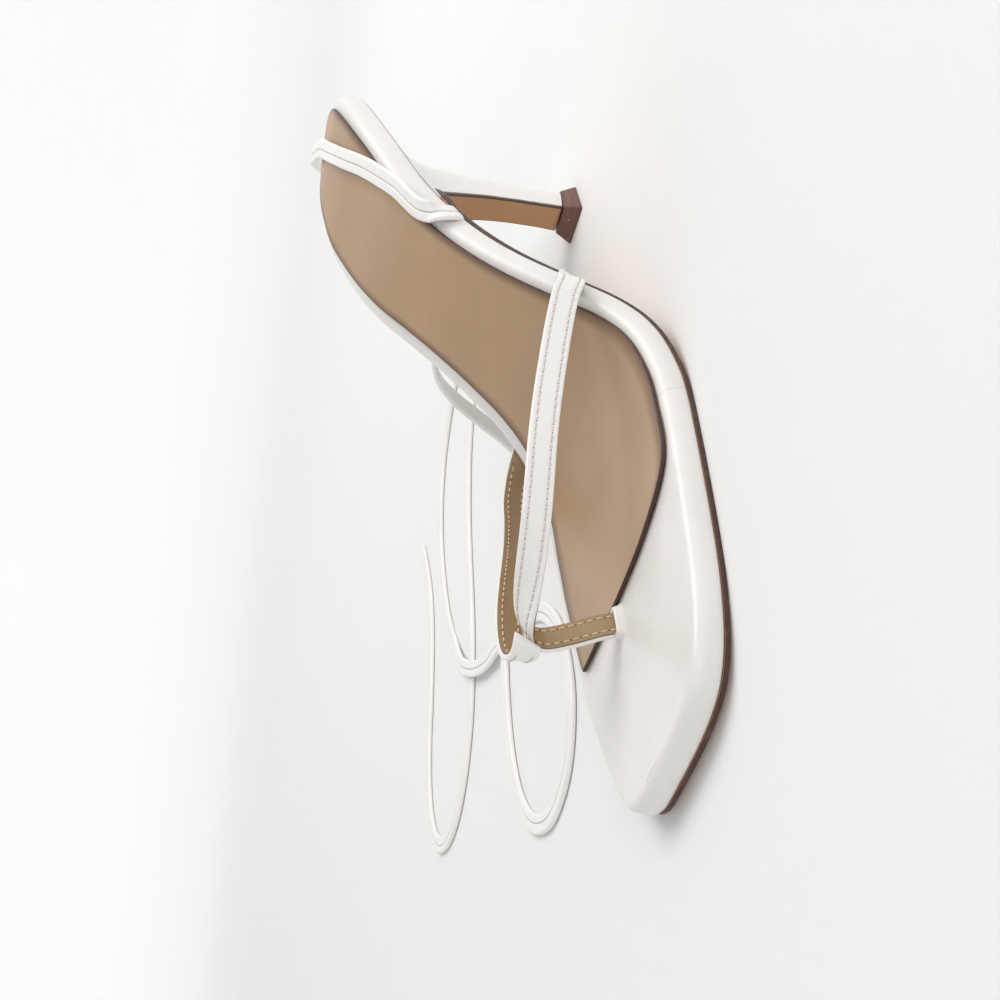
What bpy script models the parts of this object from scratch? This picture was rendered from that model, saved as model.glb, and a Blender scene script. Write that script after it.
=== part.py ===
"""Left lace up heeled sandal in white leather, built as separate pieces at real size.

Frame: +X to the toe, +Y to the wearer's left (the outer side of this left shoe), +Z up, metres.
The origin is on the floor, below the middle of the shoe without its laces.
Tables are in millimetres in the shoemaker's frame: x from the back of the heel, y from the heel's
middle line, z from the floor. MM and ORIGIN turn them into the model's metres.
"""
import math

import bmesh
import bpy
from mathutils import Vector

MM = 0.001
ORIGIN = Vector((122.33, -0.14, 0.0))

# Driving sizes, in millimetres
GAP = 0.3
SOLE_THICKNESS = 1.6
SOLE_INSET = 0.5
FOOTBED_HEEL_THICKNESS = 7.0
FOOTBED_TOE_THICKNESS = 5.4
FOOTBED_THINS_FROM = 60.0
FOOTBED_THINS_TO = 130.0
INSOLE_THICKNESS = 0.9
INSOLE_FRONT_ROWS = 14
STRAP_WIDTH = 6.4
STRAP_THICKNESS = 1.6
LACE_WIDTH = 5.6
LACE_THICKNESS = 1.5
STRAP_ROOT_X = 121.0
MEDIAL_STRAP_ROOT_X = 124.0
LATERAL_STRAP_LEAN = math.radians(30)
MEDIAL_STRAP_LEAN = math.radians(36)
LATERAL_LACE_X = 89.5
MEDIAL_LACE_X = 94.0
LACE_TUCK = 3.2
STRAP_TUCK = 5.0
TUCK_RADIUS = 1.7
TUCK_LIFT = 0.2
LACE_SLOPED_POINTS = 8
LACE_ROOT_POINTS = 6
STRAP_ROOT_POINTS = 6
POST_FOOT_POINTS = 3
FINE_STRETCH = 14.0
FINE_SPACING = 0.8
STRAP_SPACING = 2.2
LACE_SPACING = 6.0
CUTTER_DROP = 0.3
BREAST_HEIGHT = 5.5
LIFT_HEIGHT = 4.9

ROWS = 62
SEAT_BACK_X = 6.35
SEAT_SIDE_X = 58.0
SEAT_INSET = 0.8
ROUND_POINTS = 23
BREAST_TOP_OF_NECK = 7

# Height of the joint between footbed and outsole along the shoe: x, z
JOINT_LINE = [
    (-12.0, 65.3), (0.0, 65.8), (12.0, 66.3), (25.0, 66.2), (40.0, 63.6), (55.0, 58.8), (75.0, 51.2),
    (90.0, 43.2), (100.0, 36.8), (110.0, 29.3), (120.0, 20.7), (130.0, 12.7), (140.0, 7.0), (150.0, 4.0),
    (162.0, 2.2), (170.0, 1.9), (188.0, 1.9), (206.0, 1.9), (222.0, 2.3), (240.0, 3.5), (250.0, 4.4),
]

# Outer side of the footbed in plan, from the back of the heel to the middle of the toe edge: x, y
LATERAL_OUTLINE = [
    (6.3, 0.0), (7.3, 4.2), (10.4, 8.4), (15.0, 11.9), (21.5, 15.5), (31.0, 19.2), (45.0, 22.0), (60.0, 23.0),
    (75.0, 23.4), (90.0, 24.6), (105.0, 27.3), (120.0, 31.6), (133.0, 35.9), (145.0, 38.2), (158.0, 38.5),
    (172.0, 37.3), (188.0, 35.5), (204.0, 33.2), (217.0, 30.6), (226.5, 27.4), (232.5, 23.2), (235.6, 17.6),
    (237.2, 11.0), (238.0, 4.0), (238.3, -1.5),
]

# Inner side of the footbed in plan, from the back of the heel to the middle of the toe edge: x, y
MEDIAL_OUTLINE = [
    (6.3, 0.0), (7.3, -4.6), (10.4, -9.0), (15.0, -12.7), (21.5, -16.6), (31.0, -20.8), (45.0, -23.5),
    (60.0, -23.0), (75.0, -20.6), (90.0, -17.2), (100.0, -15.8), (110.0, -16.0), (120.0, -18.4),
    (130.0, -24.0), (140.0, -30.6), (150.0, -35.8), (160.0, -38.6), (170.0, -38.6), (184.0, -36.2),
    (198.0, -33.6), (211.0, -29.6), (222.0, -25.2), (231.0, -20.6), (235.8, -16.6), (238.2, -11.6),
    (238.6, -6.5), (238.3, -1.5),
]

# Rounded side of the footbed, from its lower to its upper edge: inset in mm, share of the thickness
FOOTBED_SIDE = [(0.9, 0.0), (0.3, 0.06), (0.0, 0.2), (0.0, 0.42), (0.15, 0.64), (0.8, 0.85), (1.9, 0.96),
                (3.3, 1.0)]

# Side of the outsole, from its upper to its lower edge: inset in mm, share of the thickness
SOLE_SIDE = [(0.25, 0.0), (0.0, 0.12), (0.0, 0.85), (0.35, 1.0)]

# Side of the insole, from its lower to its upper edge: inset in mm, share of the thickness
INSOLE_SIDE = [(0.12, 0.0), (0.0, 0.25), (0.0, 0.75), (0.2, 1.0)]

# How far the insole stays inside the footbed's side: x, lateral mm, medial mm
INSOLE_INSET = [(6.0, 5.4, 5.4), (30.0, 3.8, 5.0), (70.0, 3.0, 5.8), (110.0, 2.8, 6.0), (150.0, 2.6, 6.2),
                (200.0, 2.6, 6.4)]

# Front of the insole, from where it turns in to its slanting edge: lateral x, y, medial x, y
INSOLE_FRONT = [
    (172.0, 34.9, 170.0, -32.3), (177.0, 34.4, 174.0, -31.9), (180.6, 33.2, 178.0, -31.3),
    (183.2, 31.0, 181.0, -30.8), (185.6, 26.5, 184.0, -30.3), (187.4, 20.5, 186.4, -29.9),
    (188.8, 13.5, 188.2, -29.5), (189.6, 6.0, 189.4, -29.0), (190.1, -3.0, 190.0, -28.6),
]

# Front of the heel, where the outsole turns down: x, z, half width, y of the middle, outsole thickness
BREAST_LINE = [
    (80.0, 47.7, 21.3, 2.0, 2.1), (75.0, 49.0, 20.2, 1.5, 2.0), (69.0, 49.7, 17.6, 1.0, 1.9),
    (62.5, 49.3, 14.0, 0.6, 1.8), (56.5, 47.9, 10.6, 0.3, 1.7), (51.6, 45.0, 7.6, 0.1, 1.6),
    (48.0, 41.0, 5.6, 0.0, 1.5), (45.6, 36.5, 4.6, 0.0, 1.4), (44.0, 32.0, 4.1, 0.0, 1.3),
    (43.0, 27.0, 3.9, 0.0, 1.2), (42.3, 20.0, 3.8, 0.0, 1.2), (42.0, 12.0, 3.8, 0.0, 1.2),
    (42.0, BREAST_HEIGHT, 4.0, 0.0, 1.2),
]

# Neck of the heel from the lift upward: z, back x, front x, half width at the front, largest half width
HEEL_NECK = [
    (LIFT_HEIGHT + GAP, 33.2, 41.7, 4.0, 4.4), (9.0, 33.0, 41.7, 3.9, 4.2), (15.0, 32.8, 41.8, 3.8, 4.1),
    (21.0, 32.8, 42.1, 3.8, 4.1), (27.0, 32.9, 42.7, 3.9, 4.2), (32.0, 33.0, 43.7, 4.1, 4.4),
    (36.5, 33.0, 45.3, 4.6, 4.9),
]

# Flare of the heel from its neck to the seat, as shares of the way out and up, for three directions:
# back out, back up, side out, side up
HEEL_FLARE = [
    (0.0, 0.15, 0.02, 0.16), (0.04, 0.34, 0.08, 0.34), (0.13, 0.52, 0.19, 0.51), (0.28, 0.67, 0.34, 0.66),
    (0.48, 0.80, 0.53, 0.79), (0.70, 0.90, 0.74, 0.90), (0.90, 0.97, 0.91, 0.97), (1.0, 1.0, 1.0, 1.0),
]

# Top lift, from the floor up: z, back x, front x, half width at the back, half width at the front
LIFT_LEVELS = [(0.0, 31.2, 44.8, 5.2, 6.3), (0.5, 31.0, 45.0, 5.3, 6.4), (LIFT_HEIGHT, 32.9, 43.3, 4.1, 4.7)]

# Lateral strap, then the post between the toes: x, y, z, and the direction of the strap's width
LATERAL_STRAP_FREE = [
    (127.6, 35.5, 22.2, 0.3, 0.13, -0.94), (133.0, 35.2, 24.2, 0.26, 0.05, -0.96),
    (142.0, 33.0, 26.2, 0.22, 0.0, -0.97), (152.0, 30.2, 28.0, 0.2, 0.0, -0.98),
    (162.0, 27.3, 29.6, 0.18, 0.0, -0.98), (172.0, 24.0, 30.8, 0.16, 0.0, -0.98),
    (180.0, 20.4, 31.3, 0.16, 0.0, -0.98), (186.5, 15.2, 31.3, 0.22, 0.02, -0.97),
    (191.2, 8.6, 30.9, 0.38, 0.08, -0.92), (194.4, 1.6, 30.3, 0.66, 0.15, -0.73),
    (196.6, -4.6, 29.4, 0.9, 0.18, -0.4), (197.7, -8.7, 27.4, 0.97, 0.1, -0.2),
    (197.6, -10.0, 23.8, 0.99, 0.0, -0.12), (196.7, -8.6, 18.0, 0.99, 0.0, -0.08),
    (195.4, -6.2, 11.0, 1.0, 0.0, -0.04), (194.8, -5.0, 5.2, 1.0, 0.0, 0.0),
]

# Medial strap up to the join over the toes: x, y, z, and the direction of the strap's width
MEDIAL_STRAP_FREE = [
    (131.0, -26.6, 19.6, -0.24, 0.25, 0.94), (138.0, -28.0, 20.6, -0.22, 0.2, 0.96),
    (147.0, -27.0, 21.5, -0.2, 0.2, 0.96), (157.0, -24.4, 23.2, -0.2, 0.22, 0.95),
    (167.0, -20.8, 25.4, -0.2, 0.2, 0.96), (177.0, -17.6, 27.6, -0.18, 0.16, 0.97),
    (186.0, -15.9, 29.2, -0.15, 0.12, 0.98), (194.5, -15.0, 29.9, -0.08, 0.1, 0.99),
    (200.6, -12.9, 29.8, 0.0, 0.05, 1.0), (203.4, -8.4, 29.3, 0.05, 0.0, 1.0),
    (201.6, -3.2, 29.4, 0.1, 0.0, 1.0), (198.0, 0.8, 29.9, 0.15, 0.0, 1.0),
]

# Route of the lateral lace over the footbed: x, y, height above the joint line
LATERAL_LACE_ON_SHOE = [
    (89.2, 25.7, 4.4), (88.5, 25.6, 6.5), (86.9, 24.9, 8.4), (84.0, 24.0, 9.3), (80.0, 23.6, 9.4),
    (75.0, 22.9, 9.3), (67.0, 20.2, 9.4), (57.0, 16.2, 9.4), (46.0, 10.9, 9.4), (35.0, 5.2, 9.4),
    (25.0, -0.8, 9.5), (16.0, -7.4, 9.9), (8.0, -14.2, 9.9),
]
# Its fall to the floor and its way over it: x, y, z
LATERAL_LACE_FREE = [
    (0.5, -21.5, 71.5), (-5.5, -29.0, 64.0), (-10.5, -36.5, 52.0), (-15.0, -44.5, 37.0), (-19.5, -53.0, 22.0),
    (-24.0, -63.0, 9.5), (-27.5, -74.5, 2.6), (-28.0, -87.0, 0.9), (-22.0, -101.0, 0.9), (-9.0, -115.0, 0.9),
    (9.0, -126.0, 0.9), (30.0, -133.5, 0.9), (52.0, -138.0, 0.9), (74.0, -141.0, 0.9), (95.0, -146.0, 0.9),
    (114.0, -155.0, 0.9), (128.0, -169.0, 0.9), (134.0, -186.0, 0.9), (130.0, -203.0, 0.9),
    (117.0, -214.0, 0.9), (100.0, -217.0, 0.9), (82.0, -214.0, 0.9), (64.0, -207.0, 0.9), (46.0, -201.0, 0.9),
    (28.0, -198.0, 0.9), (10.0, -199.0, 0.9), (-14.0, -205.0, 0.9),
]

# Route of the medial lace inside the joint: x, y, height above the joint line
MEDIAL_LACE_ON_SHOE = [(94.0, -19.6, 0.5)]
# Its fall to the floor and its way over it: x, y, z
MEDIAL_LACE_FREE = [
    (95.2, -24.5, 38.8), (95.0, -30.5, 33.0), (94.0, -37.5, 24.0), (92.0, -46.0, 13.5), (90.0, -56.0, 5.0),
    (88.5, -67.0, 1.2), (89.5, -79.0, 0.9), (95.0, -91.0, 0.9), (105.0, -101.0, 0.9), (118.0, -108.0, 0.9),
    (135.0, -112.0, 0.9), (154.0, -113.0, 0.9), (172.0, -109.0, 0.9), (186.0, -99.0, 0.9),
    (193.0, -84.0, 0.9), (189.0, -68.0, 0.9), (175.0, -58.5, 0.9), (157.0, -58.0, 0.9), (141.0, -65.0, 0.9),
    (129.0, -78.0, 0.9), (121.5, -94.0, 1.6), (116.5, -109.0, 2.9), (111.0, -123.0, 2.2),
    (104.0, -136.0, 2.6), (95.0, -147.0, 3.0), (84.0, -157.0, 2.0), (71.0, -165.0, 0.9),
    (57.0, -171.0, 0.9), (42.0, -174.5, 0.9), (26.0, -176.0, 0.9), (9.0, -175.5, 0.9), (-8.0, -171.5, 0.9),
    (-23.0, -163.5, 0.9), (-35.0, -151.5, 0.9), (-43.0, -137.0, 0.9), (-47.0, -121.0, 0.9),
    (-54.0, -106.0, 0.9), (-66.0, -95.0, 0.9),
]


def row_value(table, x, column=1):
    """Value of a table's column at x, on a smooth curve that doesn't overshoot its rows."""
    rows = table
    if x <= rows[0][0]:
        return rows[0][column]
    if x >= rows[-1][0]:
        return rows[-1][column]
    slopes = []
    for low, high in zip(rows, rows[1:]):
        slopes.append((high[column] - low[column]) / (high[0] - low[0]))
    tangents = [slopes[0]]
    for before, after in zip(slopes, slopes[1:]):
        same_way = before * after > 0
        tangents.append(2 * before * after / (before + after) if same_way else 0.0)
    tangents.append(slopes[-1])
    place = next(i for i in range(len(rows) - 1) if x <= rows[i + 1][0])
    step = rows[place + 1][0] - rows[place][0]
    u = (x - rows[place][0]) / step
    return (
        (2 * u ** 3 - 3 * u ** 2 + 1) * rows[place][column]
        + (u ** 3 - 2 * u ** 2 + u) * step * tangents[place]
        + (3 * u ** 2 - 2 * u ** 3) * rows[place + 1][column]
        + (u ** 3 - u ** 2) * step * tangents[place + 1]
    )


def curve_through(points, shares):
    """Points at the given shares of the length of a smooth curve through the given points."""
    points = [Vector(p) for p in points]
    ends = [points[0] * 2 - points[1]] + points + [points[-1] * 2 - points[-2]]
    fine = []
    for i in range(1, len(ends) - 2):
        a, b, c, d = ends[i - 1:i + 3]
        for k in range(16):
            u = k / 16
            fine.append(
                b + (c - a) * (u / 2) + (a - b * 2.5 + c * 2 - d / 2) * u ** 2
                + (b * 1.5 - c * 1.5 + d / 2 - a / 2) * u ** 3
            )
    fine.append(points[-1])
    lengths = [0.0]
    for before, after in zip(fine, fine[1:]):
        lengths.append(lengths[-1] + (after - before).length)
    result = []
    place = 0
    for share in shares:
        target = share * lengths[-1]
        while place < len(fine) - 2 and lengths[place + 1] < target:
            place += 1
        step = lengths[place + 1] - lengths[place]
        result.append(fine[place].lerp(fine[place + 1], (target - lengths[place]) / step))
    return result


def even_shares(count):
    return [i / count for i in range(count + 1)]


def joint_height(x):
    return row_value(JOINT_LINE, x)


def joint_slope(x):
    return (joint_height(x + 1) - joint_height(x - 1)) / 2


def on_joint(x, y, height):
    """Point that lies the given height above the joint line, square to it."""
    slope = joint_slope(x)
    length = math.hypot(1, slope)
    return Vector((x - slope / length * height, y, joint_height(x) + height / length))


def footbed_thickness(x):
    share = (x - FOOTBED_THINS_FROM) / (FOOTBED_THINS_TO - FOOTBED_THINS_FROM)
    share = min(max(share, 0.0), 1.0)
    share = share * share * (3 - 2 * share)
    return FOOTBED_HEEL_THICKNESS + (FOOTBED_TOE_THICKNESS - FOOTBED_HEEL_THICKNESS) * share


def side_shares():
    """Rows along an outline, closer together round the heel and the toe."""
    return [0.45 * u + 0.55 * (1 - math.cos(math.pi * u)) / 2 for u in even_shares(ROWS)]


def outline_rows():
    """Pairs of outline points, lateral and medial, each with its inward direction."""
    sides = []
    for outline in (LATERAL_OUTLINE, MEDIAL_OUTLINE):
        points = curve_through([(x, y, 0) for x, y in outline], side_shares())
        turn = -1 if outline is LATERAL_OUTLINE else 1
        inward = [Vector((1, 0, 0))]
        for before, after in zip(points, points[2:]):
            along = (after - before).normalized()
            inward.append(Vector((-along.y, along.x, 0)) * turn)
        inward.append(Vector((-1, 0, 0)))
        inward = [(-v if turn * v.y < 0 else v) if abs(v.x) < 0.9 else v for v in inward]
        sides.append(list(zip(points, inward)))
    return list(zip(*sides))


OUTLINE_ROWS = outline_rows()


def edge_y(x, lateral):
    """Where the footbed's side is at x."""
    side = 0 if lateral else 1
    for before, after in zip(OUTLINE_ROWS, OUTLINE_ROWS[1:]):
        if before[side][0].x <= x <= after[side][0].x:
            share = (x - before[side][0].x) / (after[side][0].x - before[side][0].x)
            return before[side][0].lerp(after[side][0], share).y
    raise ValueError(x)


def metres(point):
    return (Vector(point) - ORIGIN) * MM


def material(name, colour, roughness):
    made = bpy.data.materials.new(name)
    made.use_nodes = True
    shader = made.node_tree.nodes["Principled BSDF"]
    shader.inputs["Base Color"].default_value = (*colour, 1.0)
    shader.inputs["Roughness"].default_value = roughness
    shader.inputs["Metallic"].default_value = 0.0
    made.diffuse_color = (*colour, 1.0)
    return made


def loft(name, loops, look, collection, cap_start=True, cap_end=True, smooth=True, end_strips=()):
    """Closed body through loops of the same number of points, given in millimetres."""
    mesh = bmesh.new()
    rings = [[mesh.verts.new(metres(p)) for p in loop] for loop in loops]
    for ring, following in zip(rings, rings[1:]):
        for i in range(len(ring)):
            j = (i + 1) % len(ring)
            mesh.faces.new((ring[i], ring[j], following[j], following[i]))
    if cap_start:
        mesh.faces.new(rings[0])
    if cap_end:
        mesh.faces.new(rings[-1])
    for strip in end_strips:
        mesh.faces.new([rings[-1][i] for i in strip])
    bmesh.ops.remove_doubles(mesh, verts=mesh.verts, dist=1e-6)
    bmesh.ops.dissolve_degenerate(mesh, edges=mesh.edges, dist=1e-6)
    bmesh.ops.recalc_face_normals(mesh, faces=mesh.faces)
    if mesh.calc_volume(signed=True) < 0:
        bmesh.ops.reverse_faces(mesh, faces=mesh.faces)
    data = bpy.data.meshes.new(name)
    mesh.to_mesh(data)
    mesh.free()
    made = bpy.data.objects.new(name, data)
    collection.objects.link(made)
    data.materials.append(look)
    if smooth:
        data.shade_smooth()
    return made


def cross_section(row, side, inset_by, height_at):
    """One loop across the shoe: up the lateral side, over, and down the medial side."""
    lateral, medial = row
    up = [on_joint_plan(lateral, inset_by[0] + inset, height_at(share)) for inset, share in side]
    down = [on_joint_plan(medial, inset_by[1] + inset, height_at(share)) for inset, share in side]
    return up + down[::-1]


def on_joint_plan(edge, inset, height):
    point, inward = edge
    moved = point + inward * inset
    return on_joint(moved.x, moved.y, height(moved.x))


def build_footbed(look, collection):
    loops = []
    for row in OUTLINE_ROWS:
        loops.append(cross_section(
            row, FOOTBED_SIDE, (0.0, 0.0),
            lambda s: lambda x: s * footbed_thickness(x),
        ))
    return loft("footbed", loops, look, collection, cap_start=False, cap_end=False)


def insole_rows():
    """Pairs of insole outline points, lateral and medial, from the heel to the slanting front edge."""
    rows = []
    for (lateral, lateral_in), (medial, medial_in) in OUTLINE_ROWS:
        left = lateral + lateral_in * row_value(INSOLE_INSET, lateral.x, 1)
        right = medial + medial_in * row_value(INSOLE_INSET, medial.x, 2)
        if left.x > INSOLE_FRONT[0][0] - 3.0:
            break
        rows.append((left, right))
    middle = (rows[0][0] + rows[0][1]) / 2
    rows[0] = (middle, middle)
    sides = []
    for column in (0, 2):
        points = [(row[column], row[column + 1], 0) for row in INSOLE_FRONT]
        sides.append(curve_through(points, even_shares(INSOLE_FRONT_ROWS)))
    return rows + list(zip(*sides))


def build_insole(look, collection):
    loops = []
    rows = insole_rows()
    for place, (lateral, medial) in enumerate(rows):
        loop = []
        for point, sign, side in ((lateral, -1, INSOLE_SIDE), (medial, 1, INSOLE_SIDE[::-1])):
            for inset, share in side:
                x, y = point.x, point.y + sign * inset
                if place == 0:
                    x, y = point.x + inset, point.y
                if place == len(rows) - 1:
                    x -= inset
                loop.append(on_joint(x, y, footbed_thickness(x) + GAP + share * INSOLE_THICKNESS))
        loops.append(loop)
    return loft("insole", loops, look, collection, cap_start=False)


def breast_frame(place):
    """Point, forward outward normal, half width, middle and thickness of one row of BREAST_LINE."""
    before = BREAST_LINE[max(place - 1, 0)]
    after = BREAST_LINE[min(place + 1, len(BREAST_LINE) - 1)]
    along = Vector((after[0] - before[0], 0, after[1] - before[1])).normalized()
    if place == len(BREAST_LINE) - 1:
        along = Vector((0, 0, -1))
    x, z, half, middle, thickness = BREAST_LINE[place]
    normal = Vector((-along.z, 0, along.x))
    return Vector((x, middle, z)), normal, half, thickness


def build_outsole(look, collection):
    """Thin leather sole, from the toe back to the waist and down the front of the heel."""
    loops = []
    for row in reversed(OUTLINE_ROWS):
        if row[0][0].x < 86.0:
            break
        loops.append(cross_section(
            row, SOLE_SIDE, (SOLE_INSET, SOLE_INSET),
            lambda s: lambda x: -GAP - s * SOLE_THICKNESS,
        ))
    for place in range(len(BREAST_LINE)):
        centre, normal, half, thickness = breast_frame(place)
        up, down = [], []
        for inset, share in SOLE_SIDE:
            deep = normal * (share * thickness)
            up.append(centre + deep + Vector((0, half - inset, 0)))
            down.append(centre + deep - Vector((0, half - inset, 0)))
        loops.append(up + down[::-1])
    return loft("outsole", loops, look, collection, cap_start=False)


def heel_loop(back, front, half_front, half_side, height):
    """Rounded square loop with a flat front: back is x, front is x, both at one height."""
    loop = []
    middle = (back + front) / 2
    for turn in range(ROUND_POINTS):
        angle = math.radians(-90 + 180 * turn / (ROUND_POINTS - 1))
        round_x = -abs(math.cos(angle)) ** 0.6
        round_y = math.copysign(abs(math.sin(angle)) ** 0.6, math.sin(angle))
        loop.append(Vector((middle + round_x * (middle - back), -round_y * half_side, height)))
    for share in (0.5, 1.0):
        side = half_side - share * (half_side - half_front)
        loop.append(Vector((middle + share * (front - middle), -side, height)))
    loop.append(Vector((front, 0.0, height)))
    for share in (1.0, 0.5):
        side = half_side - share * (half_side - half_front)
        loop.append(Vector((middle + share * (front - middle), side, height)))
    return loop


def seat_loop(count_round):
    """Top of the heel below the footbed, with its points in the order of heel_loop."""
    tip = BREAST_LINE[0]
    loop = []
    for turn in range(count_round):
        side = turn * 2 / (count_round - 1) - 1
        lateral = side < 0
        share = 1 - abs(side)
        x = SEAT_BACK_X + (SEAT_SIDE_X - SEAT_BACK_X) * (1 - math.sin(share * math.pi / 2))
        y = edge_y(x, lateral) + (-SEAT_INSET if lateral else SEAT_INSET)
        if abs(side) < 1e-9:
            x, y = SEAT_BACK_X + SEAT_INSET, 0.0
        loop.append((x, y))
    medial_tip = (tip[0] - 0.6, tip[3] - tip[2])
    lateral_tip = (tip[0] - 0.6, tip[3] + tip[2])
    last, first = loop[-1], loop[0]
    loop.append(((last[0] + medial_tip[0]) / 2, edge_y((last[0] + medial_tip[0]) / 2, False) + SEAT_INSET))
    loop.append(medial_tip)
    loop.append(((medial_tip[0] + lateral_tip[0]) / 2, tip[3]))
    loop.append(lateral_tip)
    loop.append(((first[0] + lateral_tip[0]) / 2, edge_y((first[0] + lateral_tip[0]) / 2, True) - SEAT_INSET))
    return [on_joint(x, y, -GAP) for x, y in loop]


def build_heel(look, collection):
    """Covered heel: a slim neck that flares into a cup under the seat, with a flat front."""
    loops = [heel_loop(*row[1:], row[0]) for row in HEEL_NECK]
    neck = loops[-1]
    seat = seat_loop(ROUND_POINTS)
    for number, (back_out, back_up, side_out, side_up) in enumerate(HEEL_FLARE[:-1]):
        loop = []
        for i in range(ROUND_POINTS):
            start, end = neck[i], seat[i]
            back = math.sin(math.pi * i / (ROUND_POINTS - 1))
            out = side_out + (back_out - side_out) * back
            up = side_up + (back_up - side_up) * back
            point = start.lerp(end, out)
            point.z = start.z + (end.z - start.z) * up
            loop.append(point)
        front, outward, half, _ = breast_frame(BREAST_TOP_OF_NECK - 1 - number)
        front = front - outward * GAP
        across = Vector((0, half, 0))
        medial, lateral = front - across, front + across
        loop += [(loop[-1] + medial) / 2, medial, front, lateral, (loop[0] + lateral) / 2]
        loops.append(loop)
    loops.append(seat)
    last = ROUND_POINTS - 1
    strips = [(i, i + 1, last - i - 1, last - i) for i in range(last // 2 - 1)]
    strips.append((last // 2 - 1, last // 2, last // 2 + 1))
    strips += [(last + 5, 0, last, last + 1), (last + 4, last + 5, last + 1, last + 2, last + 3)]
    return loft("heel", loops, look, collection, cap_end=False, end_strips=strips)


def build_lift(look, collection):
    chamfer = 1.0
    loops = []
    for z, back, front, half_back, half_front in LIFT_LEVELS:
        loops.append([
            Vector((back + chamfer, -half_back, z)), Vector((front - 0.3, -half_front, z)),
            Vector((front, -half_front + 0.3, z)), Vector((front, half_front - 0.3, z)),
            Vector((front - 0.3, half_front, z)), Vector((back + chamfer, half_back, z)),
            Vector((back, half_back - chamfer, z)), Vector((back, -half_back + chamfer, z)),
        ])
    return loft("heel_lift", loops, look, collection, smooth=False)


def ribbon(name, route, width, thickness, spacing, look, collection):
    """Flat strap along a route of points and width directions, with softly rounded edges."""
    length = sum((Vector(b[0]) - Vector(a[0])).length for a, b in zip(route, route[1:]))
    fine = min(FINE_STRETCH / length, 1.0)
    shares = [fine * u for u in even_shares(round(fine * length / FINE_SPACING))]
    rest = math.ceil((1 - fine) * length / spacing)
    shares += [fine + (1 - fine) * (i + 1) / rest for i in range(rest)]
    centres = curve_through([p for p, _ in route], shares)
    widths = []
    lengths = [0.0]
    for before, after in zip(route, route[1:]):
        lengths.append(lengths[-1] + (Vector(after[0]) - Vector(before[0])).length)
    tables = []
    for axis in range(3):
        tables.append([(gone / lengths[-1], Vector(row[1])[axis]) for gone, row in zip(lengths, route)])
    for share in shares:
        widths.append(Vector([row_value(table, share) for table in tables]).normalized())
    half, deep = width / 2, thickness / 2
    corner = min(0.45, deep * 0.6)
    section = [
        (half, deep - corner), (half - corner, deep), (corner - half, deep), (-half, deep - corner),
        (-half, corner - deep), (corner - half, -deep), (half - corner, -deep), (half, corner - deep),
    ]
    loops = []
    for i, centre in enumerate(centres):
        along = (centres[min(i + 1, len(centres) - 1)] - centres[max(i - 1, 0)]).normalized()
        across = (widths[i] - along * widths[i].dot(along)).normalized()
        outward = along.cross(across)
        loops.append([centre + across * a + outward * b for a, b in section])
    return loft(name, loops, look, collection)


def tuck_steps(tuck, half):
    """Way of a strap's or lace's middle line out of the joint and up the footbed's side: out, up."""
    middle_out = half + GAP - TUCK_RADIUS
    low = half + TUCK_LIFT
    steps = [(-tuck, low), (-(tuck - middle_out) / 2, low)]
    for turn in (0, 30, 60, 90):
        angle = math.radians(turn)
        steps.append((middle_out + TUCK_RADIUS * math.sin(angle), low + TUCK_RADIUS * (1 - math.cos(angle))))
    return steps


def strap_root(x, lateral, lean):
    """Route of a strap's end: out of the joint below the footbed, round its side and up at a lean."""
    side = 1 if lateral else -1
    edge = edge_y(x, lateral)
    along = Vector((1, (edge_y(x + 2, lateral) - edge_y(x - 2, lateral)) / 4, joint_slope(x))).normalized()
    outward = Vector((-along.y, along.x, 0)).normalized() * side
    base = Vector((x, edge, joint_height(x)))
    up = on_joint(x, 0, 1) - on_joint(x, 0, 0)
    steps = tuck_steps(STRAP_TUCK, STRAP_THICKNESS / 2)
    points = [outward * out + up * height for out, height in steps]
    route = []
    gone = -STRAP_TUCK
    for i, point in enumerate(points):
        onward = (points[min(i + 1, len(points) - 1)] - points[max(i - 1, 0)]).normalized()
        gone += (point - points[max(i - 1, 0)]).length
        across = along * math.cos(lean) - onward * math.sin(lean)
        route.append((base + point + along * (gone * math.tan(lean)), across * side))
    return route


def lace_route(x, lateral, on_shoe, free):
    """Lace route from the joint under the footbed's edge, with the width level or along the joint."""
    side = 1 if lateral else -1
    edge = edge_y(x, lateral)
    steps = tuck_steps(LACE_TUCK, LACE_THICKNESS / 2)
    if not lateral:
        steps = steps[:3]
    points = [on_joint(x, edge + side * out, height) for out, height in steps]
    points += [on_joint(*row) for row in on_shoe] + [Vector(p) for p in free]
    route = []
    for i, point in enumerate(points):
        along = (points[min(i + 1, len(points) - 1)] - points[max(i - 1, 0)]).normalized()
        flat = Vector((-along.y, along.x, 0)).normalized()
        if i < (LACE_SLOPED_POINTS if lateral else 3):
            flat = Vector((1, 0, joint_slope(x))).normalized()
        route.append((point, flat))
    return route


def boolean(target, tool, operation):
    cut = target.modifiers.new(tool.name, "BOOLEAN")
    cut.operation = operation
    cut.solver = "EXACT"
    cut.object = tool


def clearance_cutter(name, route, width, thickness, spacing, look, collection):
    """Grown copy of a strap or lace, so that what it cuts clears the strap by the gap all round."""
    first, last = Vector(route[0][0]), Vector(route[-1][0])
    start = first + (first - Vector(route[1][0])).normalized() * GAP * 1.5
    end = last + (last - Vector(route[-2][0])).normalized() * GAP * 1.5
    grown = [(start, route[0][1])] + list(route[1:-1]) + [(end, route[-1][1])]
    grown = [(Vector(point) - Vector((0, 0, CUTTER_DROP)), across) for point, across in grown]
    thickness += 2 * (GAP + CUTTER_DROP)
    made = ribbon(name, grown, width + 2 * GAP, thickness, spacing, look, collection)
    made.display_type = "WIRE"
    made.hide_render = True
    return made


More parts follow.
